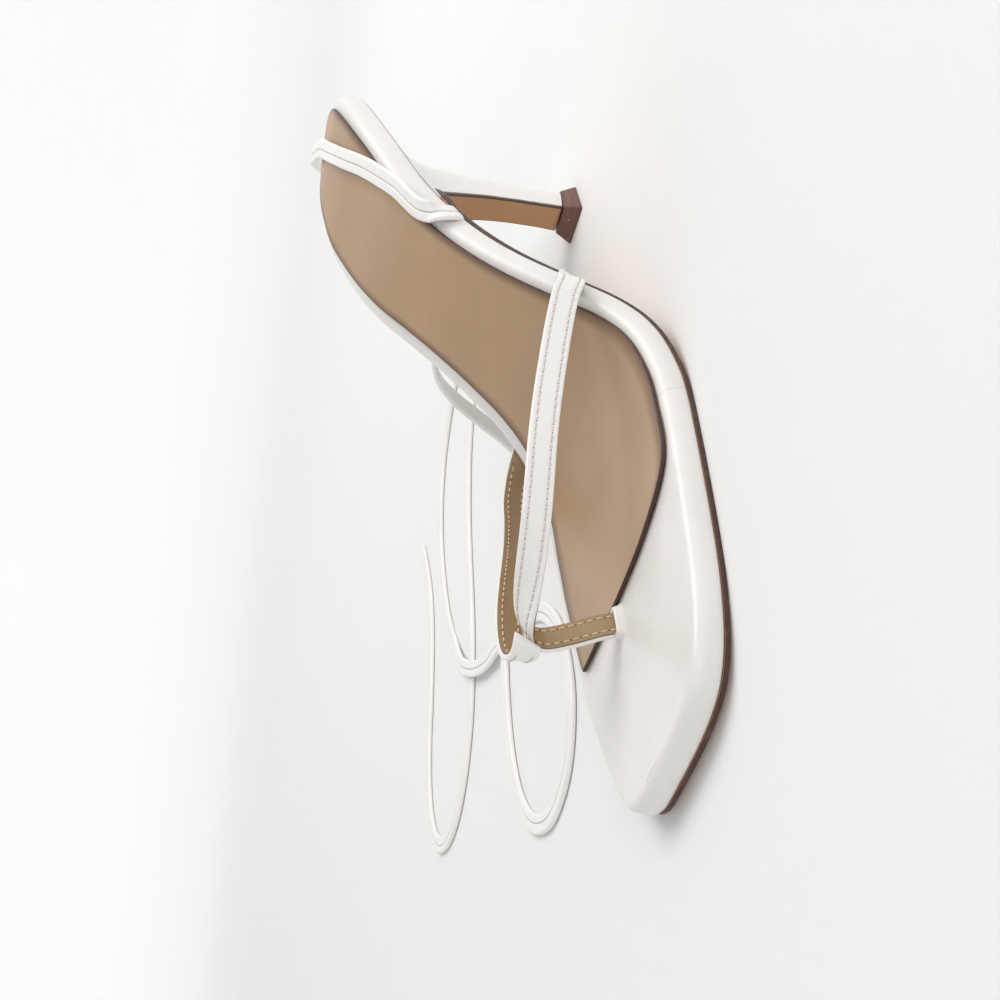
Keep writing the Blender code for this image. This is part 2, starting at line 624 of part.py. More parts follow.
def main():
    for old in list(bpy.data.objects):
        bpy.data.objects.remove(old, do_unlink=True)
    parts = bpy.data.collections.new("lace_up_heeled_sandal")
    cutters = bpy.data.collections.new("cutters")
    for collection in (parts, cutters):
        bpy.context.scene.collection.children.link(collection)
    cutters.hide_render = True

    white = material("white_leather", (0.82, 0.80, 0.76), 0.42)
    strap_white = material("white_strap_leather", (0.84, 0.82, 0.79), 0.45)
    heel_white = material("white_heel_cover", (0.83, 0.81, 0.78), 0.38)
    tan = material("tan_insole_leather", (0.36, 0.25, 0.16), 0.40)
    sole_tan = material("tan_sole_leather", (0.50, 0.31, 0.19), 0.45)
    brown = material("brown_lift", (0.14, 0.07, 0.05), 0.45)
    lace_white = material("white_lace_leather", (0.84, 0.83, 0.80), 0.50)

    footbed = build_footbed(white, parts)
    build_outsole(sole_tan, parts)
    build_insole(tan, parts)
    build_heel(heel_white, parts)
    build_lift(brown, parts)

    lateral = strap_root(STRAP_ROOT_X, True, LATERAL_STRAP_LEAN)
    lateral += [(row[:3], row[3:]) for row in LATERAL_STRAP_FREE]
    medial = strap_root(MEDIAL_STRAP_ROOT_X, False, MEDIAL_STRAP_LEAN)
    medial += [(row[:3], row[3:]) for row in MEDIAL_STRAP_FREE]
    strap = (STRAP_WIDTH, STRAP_THICKNESS, STRAP_SPACING, strap_white)
    upper = ribbon("upper", lateral, *strap, parts)
    medial_strap = ribbon("medial_strap_tool", medial, *strap, cutters)
    medial_strap.display_type = "WIRE"
    medial_strap.hide_render = True
    boolean(upper, medial_strap, "UNION")

    for name, stretch in (
        ("lateral_strap_room", lateral[:STRAP_ROOT_POINTS]),
        ("medial_strap_room", medial[:STRAP_ROOT_POINTS]),
        ("post_room", lateral[-POST_FOOT_POINTS:]),
    ):
        room = clearance_cutter(name, stretch, STRAP_WIDTH, STRAP_THICKNESS, FINE_SPACING, white, cutters)
        boolean(footbed, room, "DIFFERENCE")

    lateral_lace = lace_route(LATERAL_LACE_X, True, LATERAL_LACE_ON_SHOE, LATERAL_LACE_FREE)
    medial_lace = lace_route(MEDIAL_LACE_X, False, MEDIAL_LACE_ON_SHOE, MEDIAL_LACE_FREE)
    ribbon("lace_lateral", lateral_lace, LACE_WIDTH, LACE_THICKNESS, LACE_SPACING, lace_white, parts)
    ribbon("lace_medial", medial_lace, LACE_WIDTH, LACE_THICKNESS, LACE_SPACING, lace_white, parts)
    for name, stretch in (
        ("lateral_lace_room", lateral_lace[:LACE_ROOT_POINTS]),
        ("medial_lace_room", medial_lace[:LACE_ROOT_POINTS]),
    ):
        room = clearance_cutter(name, stretch, LACE_WIDTH, LACE_THICKNESS, FINE_SPACING, white, cutters)
        boolean(footbed, room, "DIFFERENCE")


main()
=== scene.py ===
"""Looks of the left lace up heeled sandal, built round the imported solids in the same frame.

Frame: +X to the toe, +Y to the wearer's left (the outer side of this left shoe), +Z up, metres.
Tables are in millimetres in the shoemaker's frame: x from the back of the heel, y from the heel's
middle line, z from the floor. MM and ORIGIN turn them into the model's metres.
"""

import math

import bmesh
import bpy
from mathutils import Matrix, Vector, noise


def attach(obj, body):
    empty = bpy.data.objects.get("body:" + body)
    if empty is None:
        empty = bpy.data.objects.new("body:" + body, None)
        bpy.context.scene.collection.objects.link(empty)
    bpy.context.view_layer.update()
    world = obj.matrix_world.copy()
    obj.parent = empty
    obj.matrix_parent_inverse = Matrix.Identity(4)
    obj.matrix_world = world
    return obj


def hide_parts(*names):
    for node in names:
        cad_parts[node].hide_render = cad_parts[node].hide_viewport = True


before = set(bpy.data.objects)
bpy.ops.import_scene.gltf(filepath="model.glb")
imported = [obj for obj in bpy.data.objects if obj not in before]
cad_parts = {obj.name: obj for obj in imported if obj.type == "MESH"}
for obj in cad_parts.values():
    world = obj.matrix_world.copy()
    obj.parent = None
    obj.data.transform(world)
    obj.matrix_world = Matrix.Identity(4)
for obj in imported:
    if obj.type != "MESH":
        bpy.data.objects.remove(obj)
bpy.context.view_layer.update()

MM = 0.001
ORIGIN = Vector((122.33, -0.14, 0.0))

# Photo camera in the shoe's frame: centre in mm, its right, down and forward directions, focal length in
# pixels of the 1000 pixel frame, and the photo pixel that the render's middle looks at
CAMERA_CENTRE = Vector((383.14, 204.97, 103.28))
CAMERA_RIGHT = Vector((-0.0234366, 0.1427429, -0.9894823))
CAMERA_DOWN = Vector((0.6908213, -0.7131257, -0.1192382))
CAMERA_FORWARD = Vector((-0.7226456, -0.6863499, -0.0818966))
FOCAL_PIXELS = 1353.14
FRAME_PIXELS = 1000.0
SENSOR_MM = 36.0
AIM_PIXEL = (700.0, 520.0)

# Sizes shared with the solids, in millimetres
GAP = 0.3
SOLE_THICKNESS = 1.6
SOLE_INSET = 0.5
SOLE_BACK_X = 86.0
FOOTBED_HEEL_THICKNESS = 7.0
FOOTBED_TOE_THICKNESS = 5.4
FOOTBED_THINS_X = (60, 130)
INSOLE_THICKNESS = 0.9
STRAP_WIDTH = 6.4
STRAP_THICKNESS = 1.6
LACE_WIDTH = 5.6
LACE_THICKNESS = 1.5
STRAP_ROOT_X = 121.0
MEDIAL_STRAP_ROOT_X = 124.0
LATERAL_STRAP_LEAN = math.radians(30)
MEDIAL_STRAP_LEAN = math.radians(36)
LATERAL_LACE_X = 89.5
MEDIAL_LACE_X = 94.0
LACE_TUCK = 3.2
STRAP_TUCK = 5.0
TUCK_RADIUS = 1.7
TUCK_LIFT = 0.2
LACE_SLOPED_POINTS = 8
BREAST_HEIGHT = 5.5
LIFT_HEIGHT = 4.9
SEAT_BACK_X = 6.35
SEAT_SIDE_X = 58.0
SEAT_INSET = 0.8
SEAT_TIP_INSET = 0.6
BREAST_TOP_OF_NECK = 7

# Most that a marked place takes on of its material's mark colour: painted shade and reflection on the white
# leathers, edge dye on the insole
SHADE_AND_DYE_SHARE = 0.75

# Fineness of the visible meshes
ROWS = 230
SEAM_ROWS = 26
TOP_COLUMNS = 17
SIDE_STEPS = 20
INSOLE_FRONT_ROWS = 40
INSOLE_COLUMNS = 16
ROUND_POINTS = 47
BETWEEN_LOOPS = 4
STRAP_STEP = 0.9
LACE_STEP = 1.4

# Seam in the cover on the outer side of the band: place, slant, groove and the puffed edge in front of it
BAND_SEAM_X = 165.6
SEAM_SHARE = 0.014
SEAM_SLANT = 1.1
SEAM_DEPTH = 0.32
SEAM_HALF_WIDTH = 0.3
SEAM_STEP = 0.22
SEAM_FADE = 1.8

# Cover and insole, as they are pulled and padded. Two numbers are the x values between which a change grows.
COVER_HANG = 0.6
COVER_HANG_X = (96, 120)
COVER_RIPPLE = 0.05
ROLL_NARROWS_BY = 0.35
ROLL_NARROWS_X = (186, 200)
TOE_CROWN = 0.3
CROWN_STARTS_X = (191.5, 200.5)
CROWN_ENDS_X = (214, 232)
INSOLE_DISH = 0.35
DISH_FADES_X = (60, 120)
DISH_FULL_WIDTH = 25.0
INSOLE_FRONT_GAP = 3.0

# Layers, end and stitching of the straps
MEDIAL_END_HIDDEN = 6.4
MEDIAL_END_SLANT = 3.4
SLANT_REACH = 7.0
STRAP_CORNER = 0.42
STITCH_GROOVE_HALF_WIDTH = 0.3
STITCH_GROOVE_DEPTH = 0.12
LINING_THICKNESS = 0.45
LINING_INSET = 0.3
LINING_CORNER = 0.12
LINING_SUNK = 0.1
LINING_FROM = 1.0
LINING_END_INSET = 0.4
OUTER_STITCH_FROM = 8.6
INNER_STITCH_FROM = 11.0
STITCH_END_INSET = 1.2
STITCH_SUNK = 0.04
STITCH_INSET = 1.35
STITCH_PITCH = 2.15
STITCH_LENGTH = 1.5
THREAD_RADIUS = 0.19
THREAD_SIDES = 6
HOLE_RADIUS = 0.2
HOLE_DEPTH = 0.08
DOT_SIDES = 8

# Ties: round edges, how much they vary in width and thickness, and the closing line of the fold with the
# width of its painted shade
LACE_CORNER = 0.7
LACE_WAVER = 0.035
LACE_PUFF = 0.06
LACE_ON_FLOOR = 0.9
FOLD_AT = 0.25
FOLD_HALF_WIDTH = 0.2
FOLD_DEPTH = 0.34
FOLD_SHADE_WIDTH = 0.16

# Top lift and the corners of the heel
LIFT_CHAMFER = 1.0
LIFT_CORNER = 0.3
LIFT_BEVEL = 0.18
NAIL_AT = (44.25, 1.2, 2.7)
NAIL_FACING = (1.0, 0.0, 0.36)
NAIL_RADIUS = 0.34
NAIL_DEPTH = 0.1
HEEL_ROUNDNESS = 0.6
HEEL_CREASE_DEGREES = 38
WELT_ROUNDNESS = 0.5
WELT_POINTS = 48

# One stitch from end to end: share of its length, share of the thread's radius, lift in radii
STITCH_FORM = [(0.0, 0.35, -0.8), (0.14, 0.85, 0.1), (0.5, 1.0, 0.55), (0.86, 0.85, 0.1), (1.0, 0.35, -0.8)]

# A dot from its foot to its top: share of the radius, share of the depth
DOT_FORM = [(1.0, -0.5), (1.0, 0.4), (0.6, 0.9)]

# Lip round the foot of the post, seen in section: how far out from the post, height above the floor
WELT_SIDE = [
    (-0.1, 6.6), (-0.1, 8.9), (0.1, 9.15), (0.45, 9.1), (0.7, 8.7), (0.95, 7.9), (1.5, 7.5), (1.6, 6.6),
]

# Painted line on the insole's front edge, seen in section: how far inside the edge, share of the thickness
EDGE_LINE_SIDE = [(-0.06, 0.1), (-0.06, 1.03), (0.34, 1.06), (0.36, 0.1)]
EDGE_LINE_STEPS = 30

# Height of the joint between footbed and outsole along the shoe: x, z
JOINT_LINE = [
    (-12, 65.3), (0, 65.8), (12, 66.3), (25, 66.2), (40, 63.6), (55, 58.8), (75, 51.2), (90, 43.2),
    (100, 36.8), (110, 29.3), (120, 20.7), (130, 12.7), (140, 7), (150, 4), (162, 2.2), (170, 1.9),
    (188, 1.9), (206, 1.9), (222, 2.3), (240, 3.5), (250, 4.4),
]

# Outer side of the footbed in plan, from the back of the heel to the middle of the toe edge: x, y
LATERAL_OUTLINE = [
    (6.3, 0), (7.3, 4.2), (10.4, 8.4), (15, 11.9), (21.5, 15.5), (31, 19.2), (45, 22), (60, 23), (75, 23.4),
    (90, 24.6), (105, 27.3), (120, 31.6), (133, 35.9), (145, 38.2), (158, 38.5), (172, 37.3), (188, 35.5),
    (204, 33.2), (217, 30.6), (226.5, 27.4), (232.5, 23.2), (235.6, 17.6), (237.2, 11), (238, 4),
    (238.3, -1.5),
]

# Inner side of the footbed in plan, from the back of the heel to the middle of the toe edge: x, y
MEDIAL_OUTLINE = [
    (6.3, 0), (7.3, -4.6), (10.4, -9), (15, -12.7), (21.5, -16.6), (31, -20.8), (45, -23.5), (60, -23),
    (75, -20.6), (90, -17.2), (100, -15.8), (110, -16), (120, -18.4), (130, -24), (140, -30.6),
    (150, -35.8), (160, -38.6), (170, -38.6), (184, -36.2), (198, -33.6), (211, -29.6), (222, -25.2),
    (231, -20.6), (235.8, -16.6), (238.2, -11.6), (238.6, -6.5), (238.3, -1.5),
]

# Rounded side of the footbed, from its lower to its upper edge: inset in mm, share of the thickness
FOOTBED_SIDE = [(0.9, 0), (0.3, 0.06), (0, 0.2), (0, 0.42), (0.15, 0.64), (0.8, 0.85), (1.9, 0.96), (3.3, 1)]

# Height in mm at which that side is drawn when it is cut into fine steps
SIDE_DRAWN_HEIGHT = 6.0

# Side of the outsole, from its upper to its lower edge: inset in mm, share of the thickness
SOLE_SIDE = [(0.25, 0), (0.06, 0.06), (0, 0.2), (0, 0.8), (0.06, 0.92), (0.3, 1), (1.1, 1)]

# Side of the insole, from its lower to its upper edge: inset in mm, share of the thickness
INSOLE_SIDE = [(0.12, 0), (0, 0.2), (0, 0.72), (0.08, 0.9), (0.25, 0.98), (0.5, 1)]

# How far the insole stays inside the footbed's side: x, lateral mm, medial mm
INSOLE_INSET = [(6, 5.4, 5.4), (30, 3.8, 5), (70, 3, 5.8), (110, 2.8, 6), (150, 2.6, 6.2), (200, 2.6, 6.4)]

# Front of the insole, from where it turns in to its slanting edge: lateral x, y, medial x, y
INSOLE_FRONT = [
    (172, 34.9, 170, -32.3), (177, 34.4, 174, -31.9), (180.6, 33.2, 178, -31.3), (183.2, 31, 181, -30.8),
    (185.6, 26.5, 184, -30.3), (187.4, 20.5, 186.4, -29.9), (188.8, 13.5, 188.2, -29.5),
    (189.6, 6, 189.4, -29), (190.1, -3, 190, -28.6),
]

# Front of the heel, where the outsole turns down: x, z, half width, y of the middle, outsole thickness
BREAST_LINE = [
    (80, 47.7, 21.3, 2, 2.1), (75, 49, 20.2, 1.5, 2), (69, 49.7, 17.6, 1, 1.9), (62.5, 49.3, 14, 0.6, 1.8),
    (56.5, 47.9, 10.6, 0.3, 1.7), (51.6, 45, 7.6, 0.1, 1.6), (48, 41, 5.6, 0, 1.5),
    (45.6, 36.5, 4.6, 0, 1.4), (44, 32, 4.1, 0, 1.3), (43, 27, 3.9, 0, 1.2), (42.3, 20, 3.8, 0, 1.2),
    (42, 12, 3.8, 0, 1.2), (42, BREAST_HEIGHT, 4, 0, 1.2),
]

# Neck of the heel from the lift upward: z, back x, front x, half width at the front, largest half width
HEEL_NECK = [
    (LIFT_HEIGHT + GAP, 33.2, 41.7, 4, 4.4), (9, 33, 41.7, 3.9, 4.2), (15, 32.8, 41.8, 3.8, 4.1),
    (21, 32.8, 42.1, 3.8, 4.1), (27, 32.9, 42.7, 3.9, 4.2), (32, 33, 43.7, 4.1, 4.4),
    (36.5, 33, 45.3, 4.6, 4.9),
]

# Flare of the heel from its neck to the seat, as shares of the way out and up, for three directions:
# back out, back up, side out, side up
HEEL_FLARE = [
    (0, 0.15, 0.02, 0.16), (0.04, 0.34, 0.08, 0.34), (0.13, 0.52, 0.19, 0.51), (0.28, 0.67, 0.34, 0.66),
    (0.48, 0.80, 0.53, 0.79), (0.70, 0.90, 0.74, 0.90), (0.90, 0.97, 0.91, 0.97), (1, 1, 1, 1),
]

# Top lift, from the floor up: z, back x, front x, half width at the back, half width at the front
LIFT_LEVELS = [(0, 31.2, 44.8, 5.2, 6.3), (0.5, 31, 45, 5.3, 6.4), (LIFT_HEIGHT, 32.9, 43.3, 4.1, 4.7)]

# Lateral strap, then the post between the toes: x, y, z, and the direction of the strap's width
LATERAL_STRAP_FREE = [
    (127.6, 35.5, 22.2, 0.3, 0.13, -0.94), (133, 35.2, 24.2, 0.26, 0.05, -0.96),
    (142, 33, 26.2, 0.22, 0, -0.97), (152, 30.2, 28, 0.2, 0, -0.98), (162, 27.3, 29.6, 0.18, 0, -0.98),
    (172, 24, 30.8, 0.16, 0, -0.98), (180, 20.4, 31.3, 0.16, 0, -0.98),
    (186.5, 15.2, 31.3, 0.22, 0.02, -0.97), (191.2, 8.6, 30.9, 0.38, 0.08, -0.92),
    (194.4, 1.6, 30.3, 0.66, 0.15, -0.73), (196.6, -4.6, 29.4, 0.9, 0.18, -0.4),
    (197.7, -8.7, 27.4, 0.97, 0.1, -0.2), (197.6, -10, 23.8, 0.99, 0, -0.12),
    (196.7, -8.6, 18, 0.99, 0, -0.08), (195.4, -6.2, 11, 1, 0, -0.04), (194.8, -5, 5.2, 1, 0, 0),
]

# Medial strap up to the join over the toes: x, y, z, and the direction of the strap's width
MEDIAL_STRAP_FREE = [
    (131, -26.6, 19.6, -0.24, 0.25, 0.94), (138, -28, 20.6, -0.22, 0.2, 0.96),
    (147, -27, 21.5, -0.2, 0.2, 0.96), (157, -24.4, 23.2, -0.2, 0.22, 0.95),
    (167, -20.8, 25.4, -0.2, 0.2, 0.96), (177, -17.6, 27.6, -0.18, 0.16, 0.97),
    (186, -15.9, 29.2, -0.15, 0.12, 0.98), (194.5, -15, 29.9, -0.08, 0.1, 0.99),
    (200.6, -12.9, 29.8, 0, 0.05, 1), (203.4, -8.4, 29.3, 0.05, 0, 1), (201.6, -3.2, 29.4, 0.1, 0, 1),
    (198, 0.8, 29.9, 0.15, 0, 1),
]

# Route of the lateral lace over the footbed: x, y, height above the joint line
LATERAL_LACE_ON_SHOE = [
    (89.2, 25.7, 4.4), (88.5, 25.6, 6.5), (86.9, 24.9, 8.4), (84, 24, 9.3), (80, 23.6, 9.4),
    (75, 22.9, 9.3), (67, 20.2, 9.4), (57, 16.2, 9.4), (46, 10.9, 9.4), (35, 5.2, 9.4), (25, -0.8, 9.5),
    (16, -7.4, 9.9), (8, -14.2, 9.9),
]
# Its fall to the floor and its way over it: x, y, z, and x, y alone where it lies on the floor
LATERAL_LACE_FREE = [
    (0.5, -21.5, 71.5), (-5.5, -29, 64), (-10.5, -36.5, 52), (-15, -44.5, 37), (-19.5, -53, 22),
    (-24, -63, 9.5), (-27.5, -74.5, 2.6), (-28, -87), (-22, -101), (-9, -115), (9, -126), (30, -133.5),
    (52, -138), (74, -141), (95, -146), (114, -155), (128, -169), (134, -186), (130, -203), (117, -214),
    (100, -217), (82, -214), (64, -207), (46, -201), (28, -198), (10, -199), (-14, -205),
]

# Route of the medial lace inside the joint: x, y, height above the joint line
MEDIAL_LACE_ON_SHOE = [(94, -19.6, 0.5)]
# Its fall to the floor and its way over it: x, y, z, and x, y alone where it lies on the floor
MEDIAL_LACE_FREE = [
    (95.2, -24.5, 38.8), (95, -30.5, 33), (94, -37.5, 24), (92, -46, 13.5), (90, -56, 5), (88.5, -67, 1.2),
    (89.5, -79), (95, -91), (105, -101), (118, -108), (135, -112), (154, -113), (172, -109), (186, -99),
    (193, -84), (189, -68), (175, -58.5), (157, -58), (141, -65), (129, -78), (121.5, -94, 1.6),
    (116.5, -109, 2.9), (111, -123, 2.2), (104, -136, 2.6), (95, -147, 3), (84, -157, 2), (71, -165),
    (57, -171), (42, -174.5), (26, -176), (9, -175.5), (-8, -171.5), (-23, -163.5), (-35, -151.5),
    (-43, -137), (-47, -121), (-54, -106), (-66, -95),
]

# Studio in metres: flat floor's rings, radius of the sweep up to the wall, wall height
FLOOR_RINGS = [0.3, 0.8, 1.7]
SWEEP_RADIUS = 0.9
SWEEP_STEPS = 12
WALL_HEIGHT = 1.2
STUDIO_SIDES = 96
WORLD_STRENGTH = 0.30

# Square lamps: name, place, place that it aims at, side in metres, watts, colour
LAMPS = [
    ("key_light", (-0.55, 0.45, 1.15), (0.0, -0.03, 0.02), 0.9, 12.0, (1.0, 0.985, 0.965)),
    ("fill_light", (0.75, 0.85, 0.55), (0.0, 0.0, 0.03), 0.8, 2.0, (0.97, 0.985, 1.0)),
]


# Shapes shared with the solids

def row_value(table, x, column=1):
    """Value of a table's column at x, on a smooth curve that doesn't overshoot its rows."""
    if x <= table[0][0]:
        return table[0][column]
    if x >= table[-1][0]:
        return table[-1][column]
    slopes = [(high[column] - low[column]) / (high[0] - low[0]) for low, high in zip(table, table[1:])]
    tangents = [slopes[0]]
    for before, after in zip(slopes, slopes[1:]):
        same_way = before * after > 0
        tangents.append(2 * before * after / (before + after) if same_way else 0.0)
    tangents.append(slopes[-1])
    i = next(i for i in range(len(table) - 1) if x <= table[i + 1][0])
    step = table[i + 1][0] - table[i][0]
    u = (x - table[i][0]) / step
    return (
        (2 * u ** 3 - 3 * u ** 2 + 1) * table[i][column]
        + (u ** 3 - 2 * u ** 2 + u) * step * tangents[i]
        + (3 * u ** 2 - 2 * u ** 3) * table[i + 1][column]
        + (u ** 3 - u ** 2) * step * tangents[i + 1]
    )


def curve_through(points, shares):
    """Points at the given shares of the length of a smooth curve through the given points."""
    points = [Vector(p) for p in points]
    ends = [points[0] * 2 - points[1]] + points + [points[-1] * 2 - points[-2]]
    fine = []
    for i in range(1, len(ends) - 2):
        a, b, c, d = ends[i - 1:i + 3]
        for k in range(16):
            u = k / 16
            fine.append(
                b + (c - a) * (u / 2) + (a - b * 2.5 + c * 2 - d / 2) * u ** 2
                + (b * 1.5 - c * 1.5 + d / 2 - a / 2) * u ** 3
            )
    fine.append(points[-1])
    lengths = [0.0]
    for before, after in zip(fine, fine[1:]):
        lengths.append(lengths[-1] + (after - before).length)
    result = []
    place = 0
    for share in shares:
        target = share * lengths[-1]
        while place < len(fine) - 2 and lengths[place + 1] < target:
            place += 1
        step = lengths[place + 1] - lengths[place]
        result.append(fine[place].lerp(fine[place + 1], (target - lengths[place]) / step))
    return result


def even_shares(count):
    return [i / count for i in range(count + 1)]


def fade(x, low, high):
    """Grows smoothly from 0 at low to 1 at high."""
    share = min(max((x - low) / (high - low), 0.0), 1.0)
    return share * share * (3 - 2 * share)


def swollen(value, power):
    """Cosine or sine pushed outward, for a rounded square."""
    return math.copysign(abs(value) ** power, value)


def way(points, i):
    """Direction of a line of points at one of them."""
    return (points[min(i + 1, len(points) - 1)] - points[max(i - 1, 0)]).normalized()


def joint_height(x):
    return row_value(JOINT_LINE, x)


def joint_slope(x):
    return (joint_height(x + 1) - joint_height(x - 1)) / 2


def on_joint(x, y, height):
    """Point that lies the given height above the joint line, square to it."""
    slope = joint_slope(x)
    length = math.hypot(1, slope)
    return Vector((x - slope / length * height, y, joint_height(x) + height / length))


def footbed_thickness(x):
    thinner = (FOOTBED_HEEL_THICKNESS - FOOTBED_TOE_THICKNESS) * fade(x, *FOOTBED_THINS_X)
    return FOOTBED_HEEL_THICKNESS - thinner


def cover_hang(x):
    """How far the white cover reaches down over the sole's edge, in front of the heel."""
    return COVER_HANG * fade(x, *COVER_HANG_X)


def side_shares():
    """Rows along an outline: closer together round the heel and the toe, and at the band's seam."""
    shares = [0.45 * u + 0.55 * (1 - math.cos(math.pi * u)) / 2 for u in even_shares(ROWS)]
    points = curve_through([(x, y, 0) for x, y in LATERAL_OUTLINE], shares)
    seam = next(share for share, point in zip(shares, points) if point.x >= BAND_SEAM_X)
    extra = [seam + SEAM_SHARE * (2 * u - 1) for u in even_shares(SEAM_ROWS)]
    kept = [share for share in shares if abs(share - seam) > SEAM_SHARE]
    return sorted(kept + extra)


def outline_rows():
    """Pairs of outline points, lateral and medial, each with its inward direction."""
    sides = []
    shares = side_shares()
    for outline in (LATERAL_OUTLINE, MEDIAL_OUTLINE):
        points = curve_through([(x, y, 0) for x, y in outline], shares)
        turn = -1 if outline is LATERAL_OUTLINE else 1
        inward = [Vector((1, 0, 0))]
        for before, after in zip(points, points[2:]):
            along = (after - before).normalized()
            inward.append(Vector((-along.y, along.x, 0)) * turn)
        inward.append(Vector((-1, 0, 0)))
        inward = [(-v if turn * v.y < 0 else v) if abs(v.x) < 0.9 else v for v in inward]
        sides.append(list(zip(points, inward)))
    return list(zip(*sides))


OUTLINE_ROWS = outline_rows()


def edge_y(x, lateral):
    """Where the footbed's side is at x."""
    side = 0 if lateral else 1
    for before, after in zip(OUTLINE_ROWS, OUTLINE_ROWS[1:]):
        if before[side][0].x <= x <= after[side][0].x:
            share = (x - before[side][0].x) / (after[side][0].x - before[side][0].x)
            return before[side][0].lerp(after[side][0], share).y
    raise ValueError(x)


def metres(point):
    return (Vector(point) - ORIGIN) * MM


# Mesh helpers

def finish_mesh(name, mesh, looks, smooth=True):
    bmesh.ops.remove_doubles(mesh, verts=mesh.verts, dist=1e-7)
    bmesh.ops.dissolve_degenerate(mesh, edges=mesh.edges, dist=1e-7)
    bmesh.ops.recalc_face_normals(mesh, faces=mesh.faces)
    if mesh.calc_volume(signed=True) < 0:
        bmesh.ops.reverse_faces(mesh, faces=mesh.faces)
    data = bpy.data.meshes.new(name)
    mesh.to_mesh(data)
    mesh.free()
    made = bpy.data.objects.new(name, data)
    bpy.context.scene.collection.objects.link(made)
    for look in looks:
        data.materials.append(look)
    if smooth:
        data.shade_smooth()
    return made


def join_rings(mesh, rings, look_of=None):
    """Faces between each ring of vertices and the next one."""
    for r, (ring, following) in enumerate(zip(rings, rings[1:])):
        for i in range(len(ring)):
            j = (i + 1) % len(ring)
            face = mesh.faces.new((ring[i], ring[j], following[j], following[i]))
            face.material_index = look_of(r, i) if look_of else 0


def circle(centre, side, other, radius, count):
    """Points round a centre, in the plane of two directions."""
    angles = [2 * math.pi * k / count for k in range(count)]
    return [centre + (side * math.cos(a) + other * math.sin(a)) * radius for a in angles]


def loft(name, loops, looks, look_of=None, shade_and_dye_of=None,
         cap_start=True, cap_end=True, smooth=True, strips=()):
    """Closed body through loops in millimetres. look_of picks a face's look, the other function a point's
    mark for painted shadow, painted reflection and edge dye.
    """
    mesh = bmesh.new()
    shade_and_dye = mesh.verts.layers.float.new("shade_and_dye")
    rings = []
    for r, loop in enumerate(loops):
        ring = []
        for i, point in enumerate(loop):
            vertex = mesh.verts.new(metres(point))
            vertex[shade_and_dye] = shade_and_dye_of(r, i) if shade_and_dye_of else 0.0
            ring.append(vertex)
        rings.append(ring)
    join_rings(mesh, rings, look_of)
    if cap_start:
        mesh.faces.new(rings[0]).material_index = look_of(0, 0) if look_of else 0
    if cap_end:
        mesh.faces.new(rings[-1]).material_index = look_of(len(rings) - 1, 0) if look_of else 0
    for strip in strips:
        mesh.faces.new([rings[-1][i] for i in strip])
    return finish_mesh(name, mesh, looks, smooth)


def dress(piece, slot, *nodes):
    """Rides the piece on the one body and hides the solids that it stands for. The slot is not used."""
    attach(piece, "root")
    if nodes:
        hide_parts(*nodes)
    return piece


# Materials

def new_material(name):
    made = bpy.data.materials.new(name)
    made.use_nodes = True
    return made, made.node_tree, made.node_tree.nodes["Principled BSDF"]


def place(tree, scale):
    """Coordinates in the object's own metres, multiplied by scale."""
    coordinates = tree.nodes.new("ShaderNodeTexCoord")
    mapping = tree.nodes.new("ShaderNodeMapping")
    mapping.inputs["Scale"].default_value = scale if isinstance(scale, tuple) else (scale, scale, scale)
    tree.links.new(coordinates.outputs["Object"], mapping.inputs["Vector"])
    return mapping.outputs["Vector"]


def noise_node(tree, scale, detail=3.0, roughness=0.5, distortion=0.0):
    made = tree.nodes.new("ShaderNodeTexNoise")
    tree.links.new(place(tree, scale), made.inputs["Vector"])
    made.inputs["Scale"].default_value = 1.0
    made.inputs["Detail"].default_value = detail
    made.inputs["Roughness"].default_value = roughness
    made.inputs["Distortion"].default_value = distortion
    return made.outputs["Fac"]


def cells_node(tree, scale):
    made = tree.nodes.new("ShaderNodeTexVoronoi")
    tree.links.new(place(tree, scale), made.inputs["Vector"])
    made.inputs["Scale"].default_value = 1.0
    return made.outputs["Distance"]


def span(tree, value, low, high, to_low, to_high):
    """Value stretched from one range to another, and held at its ends."""
    made = tree.nodes.new("ShaderNodeMapRange")
    tree.links.new(value, made.inputs["Value"])
    for name, number in (("From Min", low), ("From Max", high), ("To Min", to_low), ("To Max", to_high)):
        made.inputs[name].default_value = number
    return made.outputs["Result"]


def fill(tree, socket, value):
    """Links a socket to a node's output, or sets it to a colour or number."""
    if isinstance(value, bpy.types.NodeSocket):
        tree.links.new(value, socket)
    else:
        socket.default_value = (*value, 1.0) if isinstance(value, tuple) else value


def mix_colour(tree, share, first, second):
    made = tree.nodes.new("ShaderNodeMix")
    made.data_type = "RGBA"
    for number, value in ((0, share), (6, first), (7, second)):
        fill(tree, made.inputs[number], value)
    return made.outputs[2]


def bump(tree, shader, heights):
    """Chain of bumps: (height output, depth in metres, strength)."""
    normal = None
    for height, depth, strength in heights:
        made = tree.nodes.new("ShaderNodeBump")
        made.inputs["Distance"].default_value = depth
        made.inputs["Strength"].default_value = strength
        tree.links.new(height, made.inputs["Height"])
        if normal is not None:
            tree.links.new(normal, made.inputs["Normal"])
        normal = made.outputs["Normal"]
    tree.links.new(normal, shader.inputs["Normal"])


def with_shade_and_dye(tree, tone, painted_shade_and_dye):
    """Tone mixed with the mark colour where the mesh's mark says so: painted shadow and reflection on the
    white leathers, edge dye on the insole.
    """
    shade_and_dye = tree.nodes.new("ShaderNodeAttribute")
    shade_and_dye.attribute_name = "shade_and_dye"
    share = tree.nodes.new("ShaderNodeMath")
    share.operation = "MULTIPLY"
    tree.links.new(shade_and_dye.outputs["Fac"], share.inputs[0])
    share.inputs[1].default_value = SHADE_AND_DYE_SHARE
    return mix_colour(tree, share.outputs[0], tone, painted_shade_and_dye)


